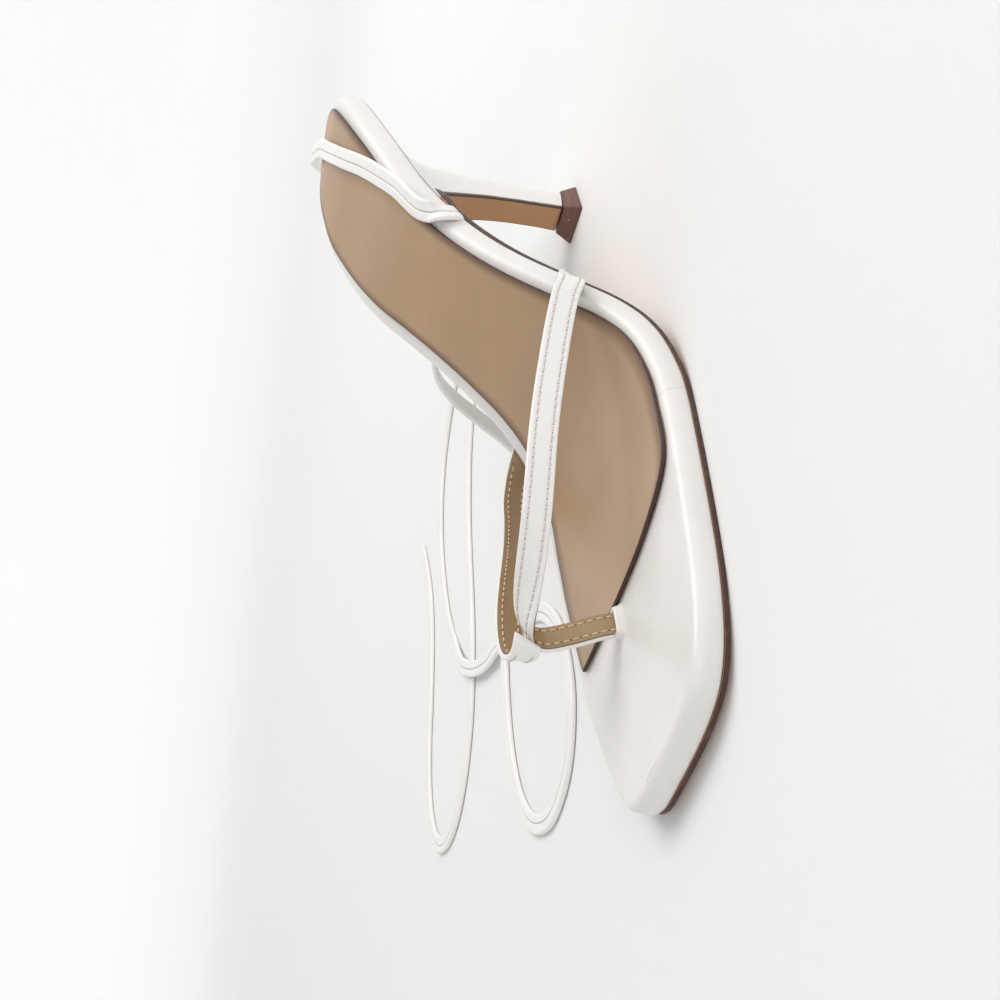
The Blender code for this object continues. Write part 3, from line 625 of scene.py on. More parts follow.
def finish_look(tree, shader, tone, gloss, roughness, coat=(0.0, 0.03)):
    """Colour, roughness that follows the gloss noise between two values, and coat weight and roughness."""
    tree.links.new(tone, shader.inputs["Base Color"])
    tree.links.new(span(tree, gloss, 0.3, 0.7, *roughness), shader.inputs["Roughness"])
    shader.inputs["Coat Weight"].default_value = coat[0]
    shader.inputs["Coat Roughness"].default_value = coat[1]


def leather(name, light, deep, painted_shade_and_dye, roughness, grain, depth, coat, metal=0.0):
    """Grained leather: two tones in soft patches, a painted shadow colour where the mesh marks it, pebbles
    and fine pores.
    """
    made, tree, shader = new_material(name)
    patches = span(tree, noise_node(tree, 55.0, 4.0, 0.55, 0.3), 0.32, 0.68, 0.0, 1.0)
    tone = mix_colour(tree, patches, light, deep)
    pores = span(tree, noise_node(tree, grain * 2.2, 2.0), 0.3, 0.7, 0.965, 1.0)
    tone = mix_colour(tree, pores, tuple(c * 0.86 for c in deep), tone)
    gloss = noise_node(tree, 240.0, 3.0, 0.6)
    rough = (roughness - 0.05, roughness + 0.07)
    finish_look(tree, shader, with_shade_and_dye(tree, tone, painted_shade_and_dye), gloss, rough, (coat, 0.22))
    shader.inputs["Metallic"].default_value = metal
    bump(tree, shader, [
        (noise_node(tree, 130.0, 3.0, 0.5, 0.4), depth * 4, 0.35),
        (cells_node(tree, grain), depth, 0.55),
        (noise_node(tree, grain * 2.6, 2.0), depth * 0.5, 0.5),
    ])
    return made


def satin_leather(name, light, deep, painted_shade_and_dye):
    """Smooth satin leather: two tones in soft patches, a fine even grain, and dark edge dye where the mesh
    marks it.
    """
    made, tree, shader = new_material(name)
    patches = span(tree, noise_node(tree, 45.0, 3.0), 0.3, 0.7, 0.0, 1.0)
    tone = mix_colour(tree, patches, light, deep)
    grain = span(tree, noise_node(tree, 2200.0, 2.0), 0.3, 0.7, 0.0, 0.35)
    tone = with_shade_and_dye(tree, mix_colour(tree, grain, tone, deep), painted_shade_and_dye)
    finish_look(tree, shader, tone, noise_node(tree, 60.0, 2.0), (0.42, 0.47), (0.05, 0.4))
    bump(tree, shader, [(noise_node(tree, 1600.0, 2.0), 0.00001, 0.3)])
    return made


def edge_paint(name, colour, wear):
    """Painted cut edge: dark paint, rubbed lighter in short dashes along the edge. The painted shadow in the
    stitch holes uses it too.
    """
    made, tree, shader = new_material(name)
    rubbed = span(tree, noise_node(tree, (260.0, 260.0, 900.0), 5.0, 0.65), 0.56, 0.74, 0.0, 0.85)
    tone = mix_colour(tree, rubbed, colour, wear)
    finish_look(tree, shader, tone, noise_node(tree, 700.0, 3.0), (0.34, 0.55))
    bump(tree, shader, [(noise_node(tree, 900.0, 4.0, 0.6), 0.00012, 0.6)])
    return made


def sole_leather(name, light, deep):
    """Smooth bare sole leather with faint drag marks along its length and small scuffs."""
    made, tree, shader = new_material(name)
    patches = span(tree, noise_node(tree, 40.0, 5.0, 0.6, 0.5), 0.3, 0.7, 0.0, 1.0)
    tone = mix_colour(tree, patches, light, deep)
    drags = span(tree, noise_node(tree, (60.0, 900.0, 900.0), 4.0, 0.7), 0.6, 0.78, 0.0, 0.4)
    tone = mix_colour(tree, drags, tone, tuple(c * 0.6 for c in deep))
    finish_look(tree, shader, tone, noise_node(tree, 300.0, 3.0), (0.36, 0.52), (0.12, 0.3))
    bump(tree, shader, [
        (noise_node(tree, (80.0, 1100.0, 1100.0), 3.0), 0.00006, 0.5),
        (noise_node(tree, 2600.0, 3.0), 0.00004, 0.5),
    ])
    return made


def stacked_look(name, light, deep):
    """Top lift: pressed layers as fine level lines in brown."""
    made, tree, shader = new_material(name)
    layers = noise_node(tree, (90.0, 90.0, 2600.0), 3.0, 0.6)
    tone = mix_colour(tree, span(tree, layers, 0.35, 0.65, 0.0, 1.0), light, deep)
    finish_look(tree, shader, tone, noise_node(tree, 500.0, 3.0), (0.3, 0.46))
    bump(tree, shader, [(layers, 0.00006, 0.6), (noise_node(tree, 1800.0, 3.0), 0.00004, 0.4)])
    return made


def thread_look(name, colour):
    """Twisted sewing thread."""
    made, tree, shader = new_material(name)
    twist = noise_node(tree, 5200.0, 1.0)
    strands = span(tree, twist, 0.35, 0.65, 0.0, 1.0)
    tone = mix_colour(tree, strands, tuple(c * 0.72 for c in colour), colour)
    tree.links.new(tone, shader.inputs["Base Color"])
    shader.inputs["Roughness"].default_value = 0.55
    shader.inputs["Sheen Weight"].default_value = 0.3
    bump(tree, shader, [(twist, 0.00005, 0.6)])
    return made


def plain_studio():
    """Pale paper that glows a little more away from the middle, so that the ground stays light."""
    made, tree, shader = new_material("studio_paper")
    tone = mix_colour(tree, noise_node(tree, 3.0, 2.0), (0.80, 0.80, 0.80), (0.815, 0.815, 0.81))
    tree.links.new(tone, shader.inputs["Base Color"])
    shader.inputs["Roughness"].default_value = 0.9
    shader.inputs["Specular IOR Level"].default_value = 0.1
    radius = tree.nodes.new("ShaderNodeVectorMath")
    radius.operation = "LENGTH"
    tree.links.new(place(tree, 1.0), radius.inputs[0])
    glow = span(tree, radius.outputs["Value"], 0.0, 2.2, 0.0, 0.38)
    shader.inputs["Emission Color"].default_value = (1.0, 1.0, 1.0, 1.0)
    tree.links.new(glow, shader.inputs["Emission Strength"])
    made.cycles.emission_sampling = "NONE"
    return made


# Each leather's third colour shows only where its mesh is marked. On the footbed cover it is a painted tan
# reflection and shade of the sole along the lower edge; the straps, heel cover and lining carry no mark.
WHITE = leather("white_leather", (0.77, 0.755, 0.73), (0.73, 0.712, 0.682), (0.55, 0.44, 0.34), 0.36,
                1500.0, 0.00005, 0.18)
STRAP_WHITE = leather("white_strap_leather", (0.82, 0.81, 0.79), (0.78, 0.77, 0.745), (0.5, 0.44, 0.36),
                      0.38, 2000.0, 0.00004, 0.15)
# Third colour of the ties: painted shade in the groove along the fold's closing line.
LACE_WHITE = leather("white_lace_leather", (0.86, 0.85, 0.83), (0.82, 0.81, 0.79), (0.30, 0.28, 0.26), 0.40,
                     2100.0, 0.00004, 0.12)
HEEL_WHITE = leather("white_heel_cover", (0.82, 0.81, 0.785), (0.785, 0.775, 0.75), (0.5, 0.42, 0.34), 0.33,
                     1700.0, 0.00004, 0.22)
# Third colour of the insole: real dark edge dye along its top edge.
TAN = satin_leather("tan_insole_leather", (0.45, 0.302, 0.182), (0.40, 0.266, 0.157), (0.06, 0.028, 0.016))
LINING = leather("tan_strap_lining", (0.37, 0.255, 0.135), (0.31, 0.205, 0.105), (0.10, 0.05, 0.025), 0.34,
                 2400.0, 0.00004, 0.25, 0.15)
EDGE = edge_paint("brown_sole_edge", (0.05, 0.02, 0.013), (0.17, 0.085, 0.05))
LINING_EDGE = edge_paint("brown_lining_edge", (0.12, 0.06, 0.03), (0.26, 0.16, 0.09))
SOLE = sole_leather("tan_sole_leather", (0.60, 0.37, 0.235), (0.51, 0.30, 0.18))
BREAST = sole_leather("tan_heel_breast", (0.47, 0.26, 0.125), (0.40, 0.21, 0.10))
LIFT = stacked_look("brown_top_lift", (0.16, 0.072, 0.043), (0.10, 0.042, 0.026))
NAIL = thread_look("brass_nail", (0.42, 0.28, 0.2))
PALE_THREAD = thread_look("pale_thread", (0.74, 0.68, 0.60))
GOLD_THREAD = thread_look("gold_thread", (0.78, 0.62, 0.38))
# Dark dots that paint the shade inside the stitch holes.
HOLE_SHADE = edge_paint("painted_lining_hole_shade", (0.12, 0.07, 0.04), (0.16, 0.1, 0.06))
PALE_HOLE_SHADE = edge_paint("painted_strap_hole_shade", (0.36, 0.33, 0.30), (0.44, 0.41, 0.38))


# Footbed with its wrapped cover

def side_profile():
    """Rounded side of the footbed in fine steps: inset in mm, share of the thickness."""
    drawn = [(inset, share * SIDE_DRAWN_HEIGHT, 0) for inset, share in FOOTBED_SIDE]
    return [(p.x, p.y / SIDE_DRAWN_HEIGHT) for p in curve_through(drawn, even_shares(SIDE_STEPS))]


def seam_relief(x, rise):
    """How far the cover stands out at the seam on the band: a groove, then a slightly puffed edge."""
    away = x - (BAND_SEAM_X - SEAM_SLANT * (1 - rise) ** 2)
    groove = -SEAM_DEPTH * math.exp(-(away / SEAM_HALF_WIDTH) ** 2)
    puff = SEAM_STEP * math.exp(-away / SEAM_FADE) if away > 0 else 0.0
    return groove + puff


def build_footbed():
    profile = side_profile()
    count = len(profile)
    loops = []
    for lateral, medial in OUTLINE_ROWS:
        sides = []
        for (point, inward), is_lateral in ((lateral, True), (medial, False)):
            line = []
            for inset, share in profile:
                relief = seam_relief(point.x, share) if is_lateral and share > 0.1 else 0.0
                ripple = COVER_RIPPLE * noise.noise(Vector((point.x, point.y, share * 6)) * 0.35)
                narrow = 1 - ROLL_NARROWS_BY * share * fade(point.x, *ROLL_NARROWS_X)
                moved = point + inward * (inset * narrow - (relief + ripple) * (1 - 0.7 * share))
                height = share * footbed_thickness(moved.x) + relief * 0.7 * share
                height -= cover_hang(moved.x) * (1 - share)
                line.append(on_joint(moved.x, moved.y, height))
            sides.append(line)
        left, right = sides
        top = []
        for share in even_shares(TOP_COLUMNS)[1:-1]:
            point = left[-1].lerp(right[-1], share)
            ahead = fade(point.x, *CROWN_STARTS_X) * (1 - fade(point.x, *CROWN_ENDS_X))
            soft = 0.10 * noise.noise(point * 0.16) + 0.05 * noise.noise(point * 0.55)
            point.z += ahead * (TOE_CROWN * math.sin(math.pi * share) + soft)
            top.append(point)
        loops.append(left + top + right[::-1])

    # Painted tan reflection and shade of the sole on the cover's lowest points, fading out a few points up
    # the side.
    def shade_and_dye(r, i):
        rise = i if i < count else len(loops[0]) - 1 - i
        return max(0.0, 0.32 - rise * 0.09)

    return loft("footbed_cover", loops, [WHITE], shade_and_dye_of=shade_and_dye, cap_start=False, cap_end=False)


# Insole

def insole_rows():
    """Pairs of insole outline points, lateral and medial, from the heel to the slanting front edge."""
    rows = []
    for (lateral, lateral_in), (medial, medial_in) in OUTLINE_ROWS:
        left = lateral + lateral_in * row_value(INSOLE_INSET, lateral.x, 1)
        right = medial + medial_in * row_value(INSOLE_INSET, medial.x, 2)
        if left.x > INSOLE_FRONT[0][0] - INSOLE_FRONT_GAP:
            break
        rows.append((left, right))
    middle = (rows[0][0] + rows[0][1]) / 2
    rows[0] = (middle, middle)
    sides = []
    for column in (0, 2):
        points = [(row[column], row[column + 1], 0) for row in INSOLE_FRONT]
        sides.append(curve_through(points, even_shares(INSOLE_FRONT_ROWS)))
    return rows + list(zip(*sides))


def build_insole():
    rows = insole_rows()
    loops = []
    for number, (lateral, medial) in enumerate(rows):
        lines = []
        for point, sign in ((lateral, -1), (medial, 1)):
            line = []
            for inset, share in INSOLE_SIDE:
                x, y = point.x, point.y + sign * inset
                if number == 0:
                    x, y = point.x + inset, point.y
                if number == len(rows) - 1:
                    x -= inset
                line.append(on_joint(x, y, footbed_thickness(x) + GAP + share * INSOLE_THICKNESS))
            lines.append(line)
        left, right = lines
        dish = INSOLE_DISH * (1 - 0.7 * fade(lateral.x, *DISH_FADES_X))
        dish *= min(1.0, (left[-1] - right[-1]).length / DISH_FULL_WIDTH)
        top = []
        for share in even_shares(INSOLE_COLUMNS)[1:-1]:
            point = left[-1].lerp(right[-1], share)
            point.z -= dish * math.sin(math.pi * share) ** 2
            top.append(point)
        loops.append(left + top + right[::-1])
    side = len(INSOLE_SIDE)
    total = len(loops[0])

    def look(r, i):
        on_side = i < side - 2 or total - side + 1 <= i < total - 1
        return 1 if on_side or r >= len(loops) - 1 else 0

    # Real dark edge dye along the top edge of both sides.
    def shade_and_dye(r, i):
        return 0.9 if i in (side - 1, side - 2, total - side, total - side + 1) and r > 3 else 0.0

    return loft("insole_sock", loops, [TAN, EDGE], look_of=look, shade_and_dye_of=shade_and_dye, cap_start=False)


def build_insole_edge():
    """Painted line along the slanting front edge of the insole."""
    rows = insole_rows()
    lateral = [p for p, _ in rows[-INSOLE_FRONT_ROWS - 1:]]
    front = [rows[-1][0].lerp(rows[-1][1], share) for share in even_shares(EDGE_LINE_STEPS)[1:]]
    loops = []
    line = lateral + front
    for i, point in enumerate(line):
        along = way(line, i)
        inward = Vector((along.y, -along.x, 0))
        if inward.x > 0:
            inward = -inward
        loop = []
        for inset, share in EDGE_LINE_SIDE:
            moved = point + inward * inset
            height = footbed_thickness(moved.x) + GAP + share * INSOLE_THICKNESS
            loop.append(on_joint(moved.x, moved.y, height))
        loops.append(loop)
    return loft("insole_edge_line", loops, [EDGE])


# Outsole

def breast_rows():
    """Rows of the heel's front in fine steps: x, z, half width, y of the middle, thickness."""
    shares = even_shares((len(BREAST_LINE) - 1) * BETWEEN_LOOPS)
    path = curve_through([(row[0], row[1], 0) for row in BREAST_LINE], shares)
    gone = [0.0]
    for before, after in zip(BREAST_LINE, BREAST_LINE[1:]):
        gone.append(gone[-1] + math.hypot(after[0] - before[0], after[1] - before[1]))
    tables = []
    for column in (2, 3, 4):
        tables.append([(step / gone[-1], row[column]) for step, row in zip(gone, BREAST_LINE)])
    rows = []
    for share, point in zip(shares, path):
        rows.append((point.x, point.y, *[row_value(table, share) for table in tables]))
    return rows


def breast_frame(rows, number):
    """Point, forward outward normal, half width and thickness of one row of the heel's front."""
    before = rows[max(number - 1, 0)]
    after = rows[min(number + 1, len(rows) - 1)]
    along = Vector((after[0] - before[0], 0, after[1] - before[1])).normalized()
    if number == len(rows) - 1:
        along = Vector((0, 0, -1))
    x, z, half, middle, thickness = rows[number]
    normal = Vector((-along.z, 0, along.x))
    return Vector((x, middle, z)), normal, half, thickness


def build_outsole():
    """Thin leather sole, from the toe back to the waist and down the front of the heel."""
    loops = []
    for (lateral, lateral_in), (medial, medial_in) in reversed(OUTLINE_ROWS):
        if lateral.x < SOLE_BACK_X:
            break
        lines = []
        for point, inward in ((lateral, lateral_in), (medial, medial_in)):
            line = []
            for inset, share in SOLE_SIDE:
                moved = point + inward * (SOLE_INSET + inset)
                hang = cover_hang(moved.x)
                line.append(on_joint(moved.x, moved.y, -GAP - hang - share * (SOLE_THICKNESS - hang)))
            lines.append(line)
        loops.append(lines[0] + lines[1][::-1])
    rows = breast_rows()
    sole_rows = len(loops)
    for number in range(len(rows)):
        centre, normal, half, thickness = breast_frame(rows, number)
        up, down = [], []
        for inset, share in SOLE_SIDE:
            deep = normal * (share * thickness)
            up.append(centre + deep + Vector((0, half - inset, 0)))
            down.append(centre + deep - Vector((0, half - inset, 0)))
        loops.append(up + down[::-1])
    side = len(SOLE_SIDE)

    def look(r, i):
        if i == 2 * side - 1:
            return 1
        if i not in (side - 2, side - 1, side):
            return 0
        return 1 if r < sole_rows + BETWEEN_LOOPS * 3 else 2

    return loft("outsole_leather", loops, [EDGE, SOLE, BREAST], look_of=look, cap_start=False)


# Heel

def heel_loop(back, front, half_front, half_side, height):
    """Rounded square loop with a flat front, from the x of its back to the x of its front."""
    loop = []
    middle = (back + front) / 2
    for turn in range(ROUND_POINTS):
        angle = math.radians(-90 + 180 * turn / (ROUND_POINTS - 1))
        out = swollen(math.cos(angle), HEEL_ROUNDNESS)
        across = -swollen(math.sin(angle), HEEL_ROUNDNESS)
        loop.append(Vector((middle - out * (middle - back), across * half_side, height)))
    for share, sign in ((0.5, -1), (1, -1), (1, 0), (1, 1), (0.5, 1)):
        side = half_side - share * (half_side - half_front)
        loop.append(Vector((middle + share * (front - middle), sign * side, height)))
    return loop


def seat_loop():
    """Top of the heel below the footbed, with its points in the order of heel_loop."""
    tip = BREAST_LINE[0]
    loop = []
    for turn in range(ROUND_POINTS):
        side = turn * 2 / (ROUND_POINTS - 1) - 1
        lateral = side < 0
        share = 1 - abs(side)
        x = SEAT_BACK_X + (SEAT_SIDE_X - SEAT_BACK_X) * (1 - math.sin(share * math.pi / 2))
        y = edge_y(x, lateral) + (-SEAT_INSET if lateral else SEAT_INSET)
        if abs(side) < 1e-9:
            x, y = SEAT_BACK_X + SEAT_INSET, 0.0
        loop.append((x, y))
    front = tip[0] - SEAT_TIP_INSET
    medial_x, lateral_x = (loop[-1][0] + front) / 2, (loop[0][0] + front) / 2
    loop.append((medial_x, edge_y(medial_x, False) + SEAT_INSET))
    loop += [(front, tip[3] - tip[2]), (front, tip[3]), (front, tip[3] + tip[2])]
    loop.append((lateral_x, edge_y(lateral_x, True) - SEAT_INSET))
    return [on_joint(x, y, -GAP) for x, y in loop]


def build_heel():
    """Covered heel: a slim neck that flares into a cup under the seat, with a flat front."""
    loops = [heel_loop(*row[1:], row[0]) for row in HEEL_NECK]
    neck = loops[-1]
    seat = seat_loop()
    for number, (back_out, back_up, side_out, side_up) in enumerate(HEEL_FLARE[:-1]):
        loop = []
        for i in range(ROUND_POINTS):
            start, end = neck[i], seat[i]
            back = math.sin(math.pi * i / (ROUND_POINTS - 1))
            out = side_out + (back_out - side_out) * back
            up = side_up + (back_up - side_up) * back
            point = start.lerp(end, out)
            point.z = start.z + (end.z - start.z) * up
            loop.append(point)
        front, outward, half, _ = breast_frame(BREAST_LINE, BREAST_TOP_OF_NECK - 1 - number)
        front = front - outward * GAP
        across = Vector((0, half, 0))
        medial, lateral = front - across, front + across
        loop += [(loop[-1] + medial) / 2, medial, front, lateral, (loop[0] + lateral) / 2]
        loops.append(loop)
    loops.append(seat)
    shares = even_shares((len(loops) - 1) * BETWEEN_LOOPS)
    columns = [curve_through(column, shares) for column in zip(*loops)]
    fine = [list(loop) for loop in zip(*columns)]
    last = ROUND_POINTS - 1
    strips = [(i, i + 1, last - i - 1, last - i) for i in range(last // 2 - 1)]
    strips.append((last // 2 - 1, last // 2, last // 2 + 1))
    strips += [(last + 5, 0, last, last + 1), (last + 4, last + 5, last + 1, last + 2, last + 3)]
    made = loft("heel_cover", fine, [HEEL_WHITE], cap_end=False, strips=strips)
    sharpen(made, HEEL_CREASE_DEGREES)
    return made


def sharpen(piece, degrees):
    """Marks the edges sharper than this as creases in the shading."""
    mesh = bmesh.new()
    mesh.from_mesh(piece.data)
    for edge in mesh.edges:
        if len(edge.link_faces) == 2 and edge.calc_face_angle(0) > math.radians(degrees):
            edge.smooth = False
    mesh.to_mesh(piece.data)
    mesh.free()


def build_lift():
    loops = []
    for z, back, front, half_back, half_front in LIFT_LEVELS:
        medial = [
            (back + LIFT_CHAMFER, -half_back, z), (front - LIFT_CORNER, -half_front, z),
            (front, -half_front + LIFT_CORNER, z),
        ]
        lateral = [(x, -y, z) for x, y, z in reversed(medial)]
        behind = [(back, half_back - LIFT_CHAMFER, z), (back, LIFT_CHAMFER - half_back, z)]
        loops.append(medial + lateral + behind)
    made = loft("top_lift", loops, [LIFT], smooth=False)
    soft = made.modifiers.new("soft_edges", "BEVEL")
    soft.width = LIFT_BEVEL * MM
    soft.segments = 2
    soft.limit_method = "ANGLE"
    return made


def dots(name, spots, radius, depth, look):
    """Small domed dots: each spot is a point in mm and the direction that it faces."""
    mesh = bmesh.new()
    for point, facing in spots:
        facing = facing.normalized()
        side = facing.orthogonal().normalized()
        other = facing.cross(side)
        rings = []
        for share, rise in DOT_FORM:
            ring = circle(point + facing * depth * rise, side, other, radius * share, DOT_SIDES)
            rings.append([mesh.verts.new(metres(p)) for p in ring])
        join_rings(mesh, rings)
        mesh.faces.new(rings[-1])
        mesh.faces.new(rings[0][::-1])
    return finish_mesh(name, mesh, [look])


# Straps and laces

def tuck_steps(tuck, half):
    """Way of a strap's or lace's middle line out of the joint and up the footbed's side: out, up."""
    middle_out = half + GAP - TUCK_RADIUS
    low = half + TUCK_LIFT
    steps = [(-tuck, low), (-(tuck - middle_out) / 2, low)]
    for turn in (0, 30, 60, 90):
        angle = math.radians(turn)
        out = middle_out + TUCK_RADIUS * math.sin(angle)
        steps.append((out, low + TUCK_RADIUS * (1 - math.cos(angle))))
    return steps


def strap_root(x, lateral, lean):
    """Route of a strap's end: out of the joint below the footbed, round its side and up at a lean."""
    side = 1 if lateral else -1
    edge = edge_y(x, lateral)
    along = Vector((1, (edge_y(x + 2, lateral) - edge_y(x - 2, lateral)) / 4, joint_slope(x))).normalized()
    outward = Vector((-along.y, along.x, 0)).normalized() * side
    base = Vector((x, edge, joint_height(x)))
    up = on_joint(x, 0, 1) - on_joint(x, 0, 0)
    steps = tuck_steps(STRAP_TUCK, STRAP_THICKNESS / 2)
    points = [outward * out + up * height for out, height in steps]
    route = []
    gone = -STRAP_TUCK
    for i, point in enumerate(points):
        onward = way(points, i)
        gone += (point - points[max(i - 1, 0)]).length
        across = along * math.cos(lean) - onward * math.sin(lean)
        route.append((base + point + along * (gone * math.tan(lean)), across * side))
    return route


def lace_route(x, lateral, on_shoe, free):
    """Lace route from the joint under the footbed's edge, with the width level or along the joint."""
    side = 1 if lateral else -1
    edge = edge_y(x, lateral)
    steps = tuck_steps(LACE_TUCK, LACE_THICKNESS / 2)
    if not lateral:
        steps = steps[:3]
    points = [on_joint(x, edge + side * out, height) for out, height in steps]
    points += [on_joint(*row) for row in on_shoe]
    points += [Vector(row if len(row) == 3 else (*row, LACE_ON_FLOOR)) for row in free]
    route = []
    for i, point in enumerate(points):
        along = way(points, i)
        flat = Vector((-along.y, along.x, 0)).normalized()
        if i < (LACE_SLOPED_POINTS if lateral else 3):
            flat = Vector((1, 0, joint_slope(x))).normalized()
        route.append((point, flat))
    return route


def frames_along(route, spacing):
    """Even frames on a route: centre, along, across, outward, and the length gone."""
    lengths = [0.0]
    for before, after in zip(route, route[1:]):
        lengths.append(lengths[-1] + (Vector(after[0]) - Vector(before[0])).length)
    shares = even_shares(round(lengths[-1] / spacing))
    centres = curve_through([p for p, _ in route], shares)
    tables = []
    for axis in range(3):
        tables.append([(gone / lengths[-1], Vector(row[1])[axis]) for gone, row in zip(lengths, route)])
    frames = []
    gone = 0.0
    for i, centre in enumerate(centres):
        width = Vector([row_value(table, shares[i]) for table in tables]).normalized()
        along = way(centres, i)
        across = (width - along * width.dot(along)).normalized()
        gone += (centre - centres[max(i - 1, 0)]).length
        frames.append((centre, along, across, along.cross(across), gone))
    return frames


def flat_section(half, low, high, corner, steps, grooves=()):
    """Flat band's outline: across and outward, with round edges. Grooves: place, half width, depth."""
    flat = half - corner
    arc = [(corner * math.sin(a), corner * math.cos(a)) for a in (u * math.pi / 2 for u in even_shares(4))]
    section = [(flat + a, low + corner - b) for a, b in arc]
    section += [(flat + b, high - corner + a) for a, b in arc[1:]]
    for share in even_shares(steps)[1:-1]:
        across = flat * (1 - 2 * share)
        dip = sum(depth * math.exp(-((across - spot) / width) ** 2) for spot, width, depth in grooves)
        section.append((across, high - dip))
    section += [(-flat - a, high - corner + b) for a, b in arc]
    section += [(-flat - b, low + corner - a) for a, b in arc[1:]]
    return section


def band(name, frames, section, looks, look_of=None, slant=0.0):
    """Section carried along the frames. Slant: how far the end is cut back on one edge, in mm."""
    loops = []
    middle = [f[0] for f in frames]
    for number, (centre, _, across, outward, gone) in enumerate(frames):
        pull = slant * max(0.0, 1 - (frames[-1][4] - gone) / SLANT_REACH)
        along = way(middle, number) * (pull / STRAP_WIDTH)
        loops.append([centre + across * a + outward * b + along * a for a, b in section])
    return loft(name, loops, looks, look_of=look_of)


def stretch(frames, start, end):
    return [f for f in frames if start <= f[4] <= end]


def frame_at(frames, gone):
    """Frame at a length gone, between the two nearest ones."""
    i = next((i for i, f in enumerate(frames) if f[4] >= gone), len(frames) - 1)
    before, after = frames[max(i - 1, 0)], frames[i]
    step = after[4] - before[4]
    share = (gone - before[4]) / step if step > 1e-9 else 0.0
    return [a.lerp(b, share) if isinstance(a, Vector) else gone for a, b in zip(before, after)]


def stitch_row(mesh, holes, frames, start, end, across_at, out_at, facing):
    """Adds a row of stitches from start to end along a band, and the spots of their holes."""
    for number in range(int((end - start) / STITCH_PITCH)):
        low = start + number * STITCH_PITCH
        rings = []
        for share, size, lift in STITCH_FORM:
            centre, _, across, outward, _ = frame_at(frames, low + share * STITCH_LENGTH)
            middle = centre + across * across_at + outward * (out_at + facing * lift * THREAD_RADIUS)
            ring = circle(middle, across, outward, THREAD_RADIUS * size, THREAD_SIDES)
            rings.append([mesh.verts.new(metres(p)) for p in ring])
        join_rings(mesh, rings)
        mesh.faces.new(rings[0])
        mesh.faces.new(rings[-1])
        centre, _, across, outward, _ = frame_at(frames, low - (STITCH_PITCH - STITCH_LENGTH) / 2)
        holes.append((centre + across * across_at + outward * out_at, outward * facing))


def build_strap(name, frames, lining_from, lining_to, slant):
    """White strap with a narrower tan lining on its inner face."""
    half, deep = STRAP_WIDTH / 2, STRAP_THICKNESS / 2
    line = half - STITCH_INSET
    grooves = [(spot, STITCH_GROOVE_HALF_WIDTH, STITCH_GROOVE_DEPTH) for spot in (line, -line)]
    low = LINING_THICKNESS - deep
    section = flat_section(half, low - LINING_SUNK, deep, STRAP_CORNER, 26, grooves)
    outer = band(name, frames, section, [STRAP_WHITE], slant=slant)
    inner = flat_section(half - LINING_INSET, -deep, low, LINING_CORNER, 4)
    edge_points = set(range(2, 9)) | set(range(len(inner) - 8, len(inner) - 1))
    lining = band(name + "_lining", stretch(frames, lining_from, lining_to), inner, [LINING, LINING_EDGE],
                  look_of=lambda r, i: 1 if i in edge_points else 0, slant=slant)
    return outer, lining


def build_upper():
    lateral = strap_root(STRAP_ROOT_X, True, LATERAL_STRAP_LEAN)
    lateral += [(row[:3], row[3:]) for row in LATERAL_STRAP_FREE]
    medial = strap_root(MEDIAL_STRAP_ROOT_X, False, MEDIAL_STRAP_LEAN)
    medial += [(row[:3], row[3:]) for row in MEDIAL_STRAP_FREE]
    pieces = []
    outer_threads, inner_threads = bmesh.new(), bmesh.new()
    outer_holes, inner_holes = [], []
    line = STRAP_WIDTH / 2 - STITCH_INSET
    deep = STRAP_THICKNESS / 2
    for name, route, left_off, slant in (
        ("lateral_strap", lateral, 0.0, 0.0), ("medial_strap", medial, MEDIAL_END_HIDDEN, MEDIAL_END_SLANT),
    ):
        frames = frames_along(route, STRAP_STEP)
        total = frames[-1][4] - left_off
        frames = stretch(frames, 0.0, total)
        pieces += build_strap(name, frames, LINING_FROM, total - LINING_END_INSET, slant)
        last = total - STITCH_END_INSET - slant / 2
        for across_at in (line, -line):
            stitch_row(outer_threads, outer_holes, frames, OUTER_STITCH_FROM, last,
                       across_at, deep - STITCH_SUNK, 1)
            stitch_row(inner_threads, inner_holes, frames, INNER_STITCH_FROM, last, across_at, -deep, -1)
    pieces.append(finish_mesh("strap_stitches", outer_threads, [PALE_THREAD]))
    pieces.append(finish_mesh("lining_stitches", inner_threads, [GOLD_THREAD]))
    # Dots of painted shade in the stitch holes, pale on the straps and dark on the lining.
    pieces.append(dots("strap_stitch_holes", outer_holes, HOLE_RADIUS, HOLE_DEPTH, PALE_HOLE_SHADE))
    pieces.append(dots("lining_stitch_holes", inner_holes, HOLE_RADIUS, HOLE_DEPTH, HOLE_SHADE))
    return pieces


def build_post_welt():
    """Small rolled lip of the cover round the post where it goes into the toe bed."""
    foot_x, foot_y = LATERAL_STRAP_FREE[-1][:2]
    loops = []
    for k in range(WELT_POINTS):
        angle = 2 * math.pi * k / WELT_POINTS
        x, y = swollen(math.cos(angle), WELT_ROUNDNESS), swollen(math.sin(angle), WELT_ROUNDNESS)
        loop = []
        for out, height in WELT_SIDE:
            across = foot_y + y * (STRAP_THICKNESS / 2 + out)
            loop.append((foot_x + x * (STRAP_WIDTH / 2 + out), across, height))
        loops.append(loop)
    return loft("post_welt", loops + [loops[0]], [WHITE], cap_start=False, cap_end=False)


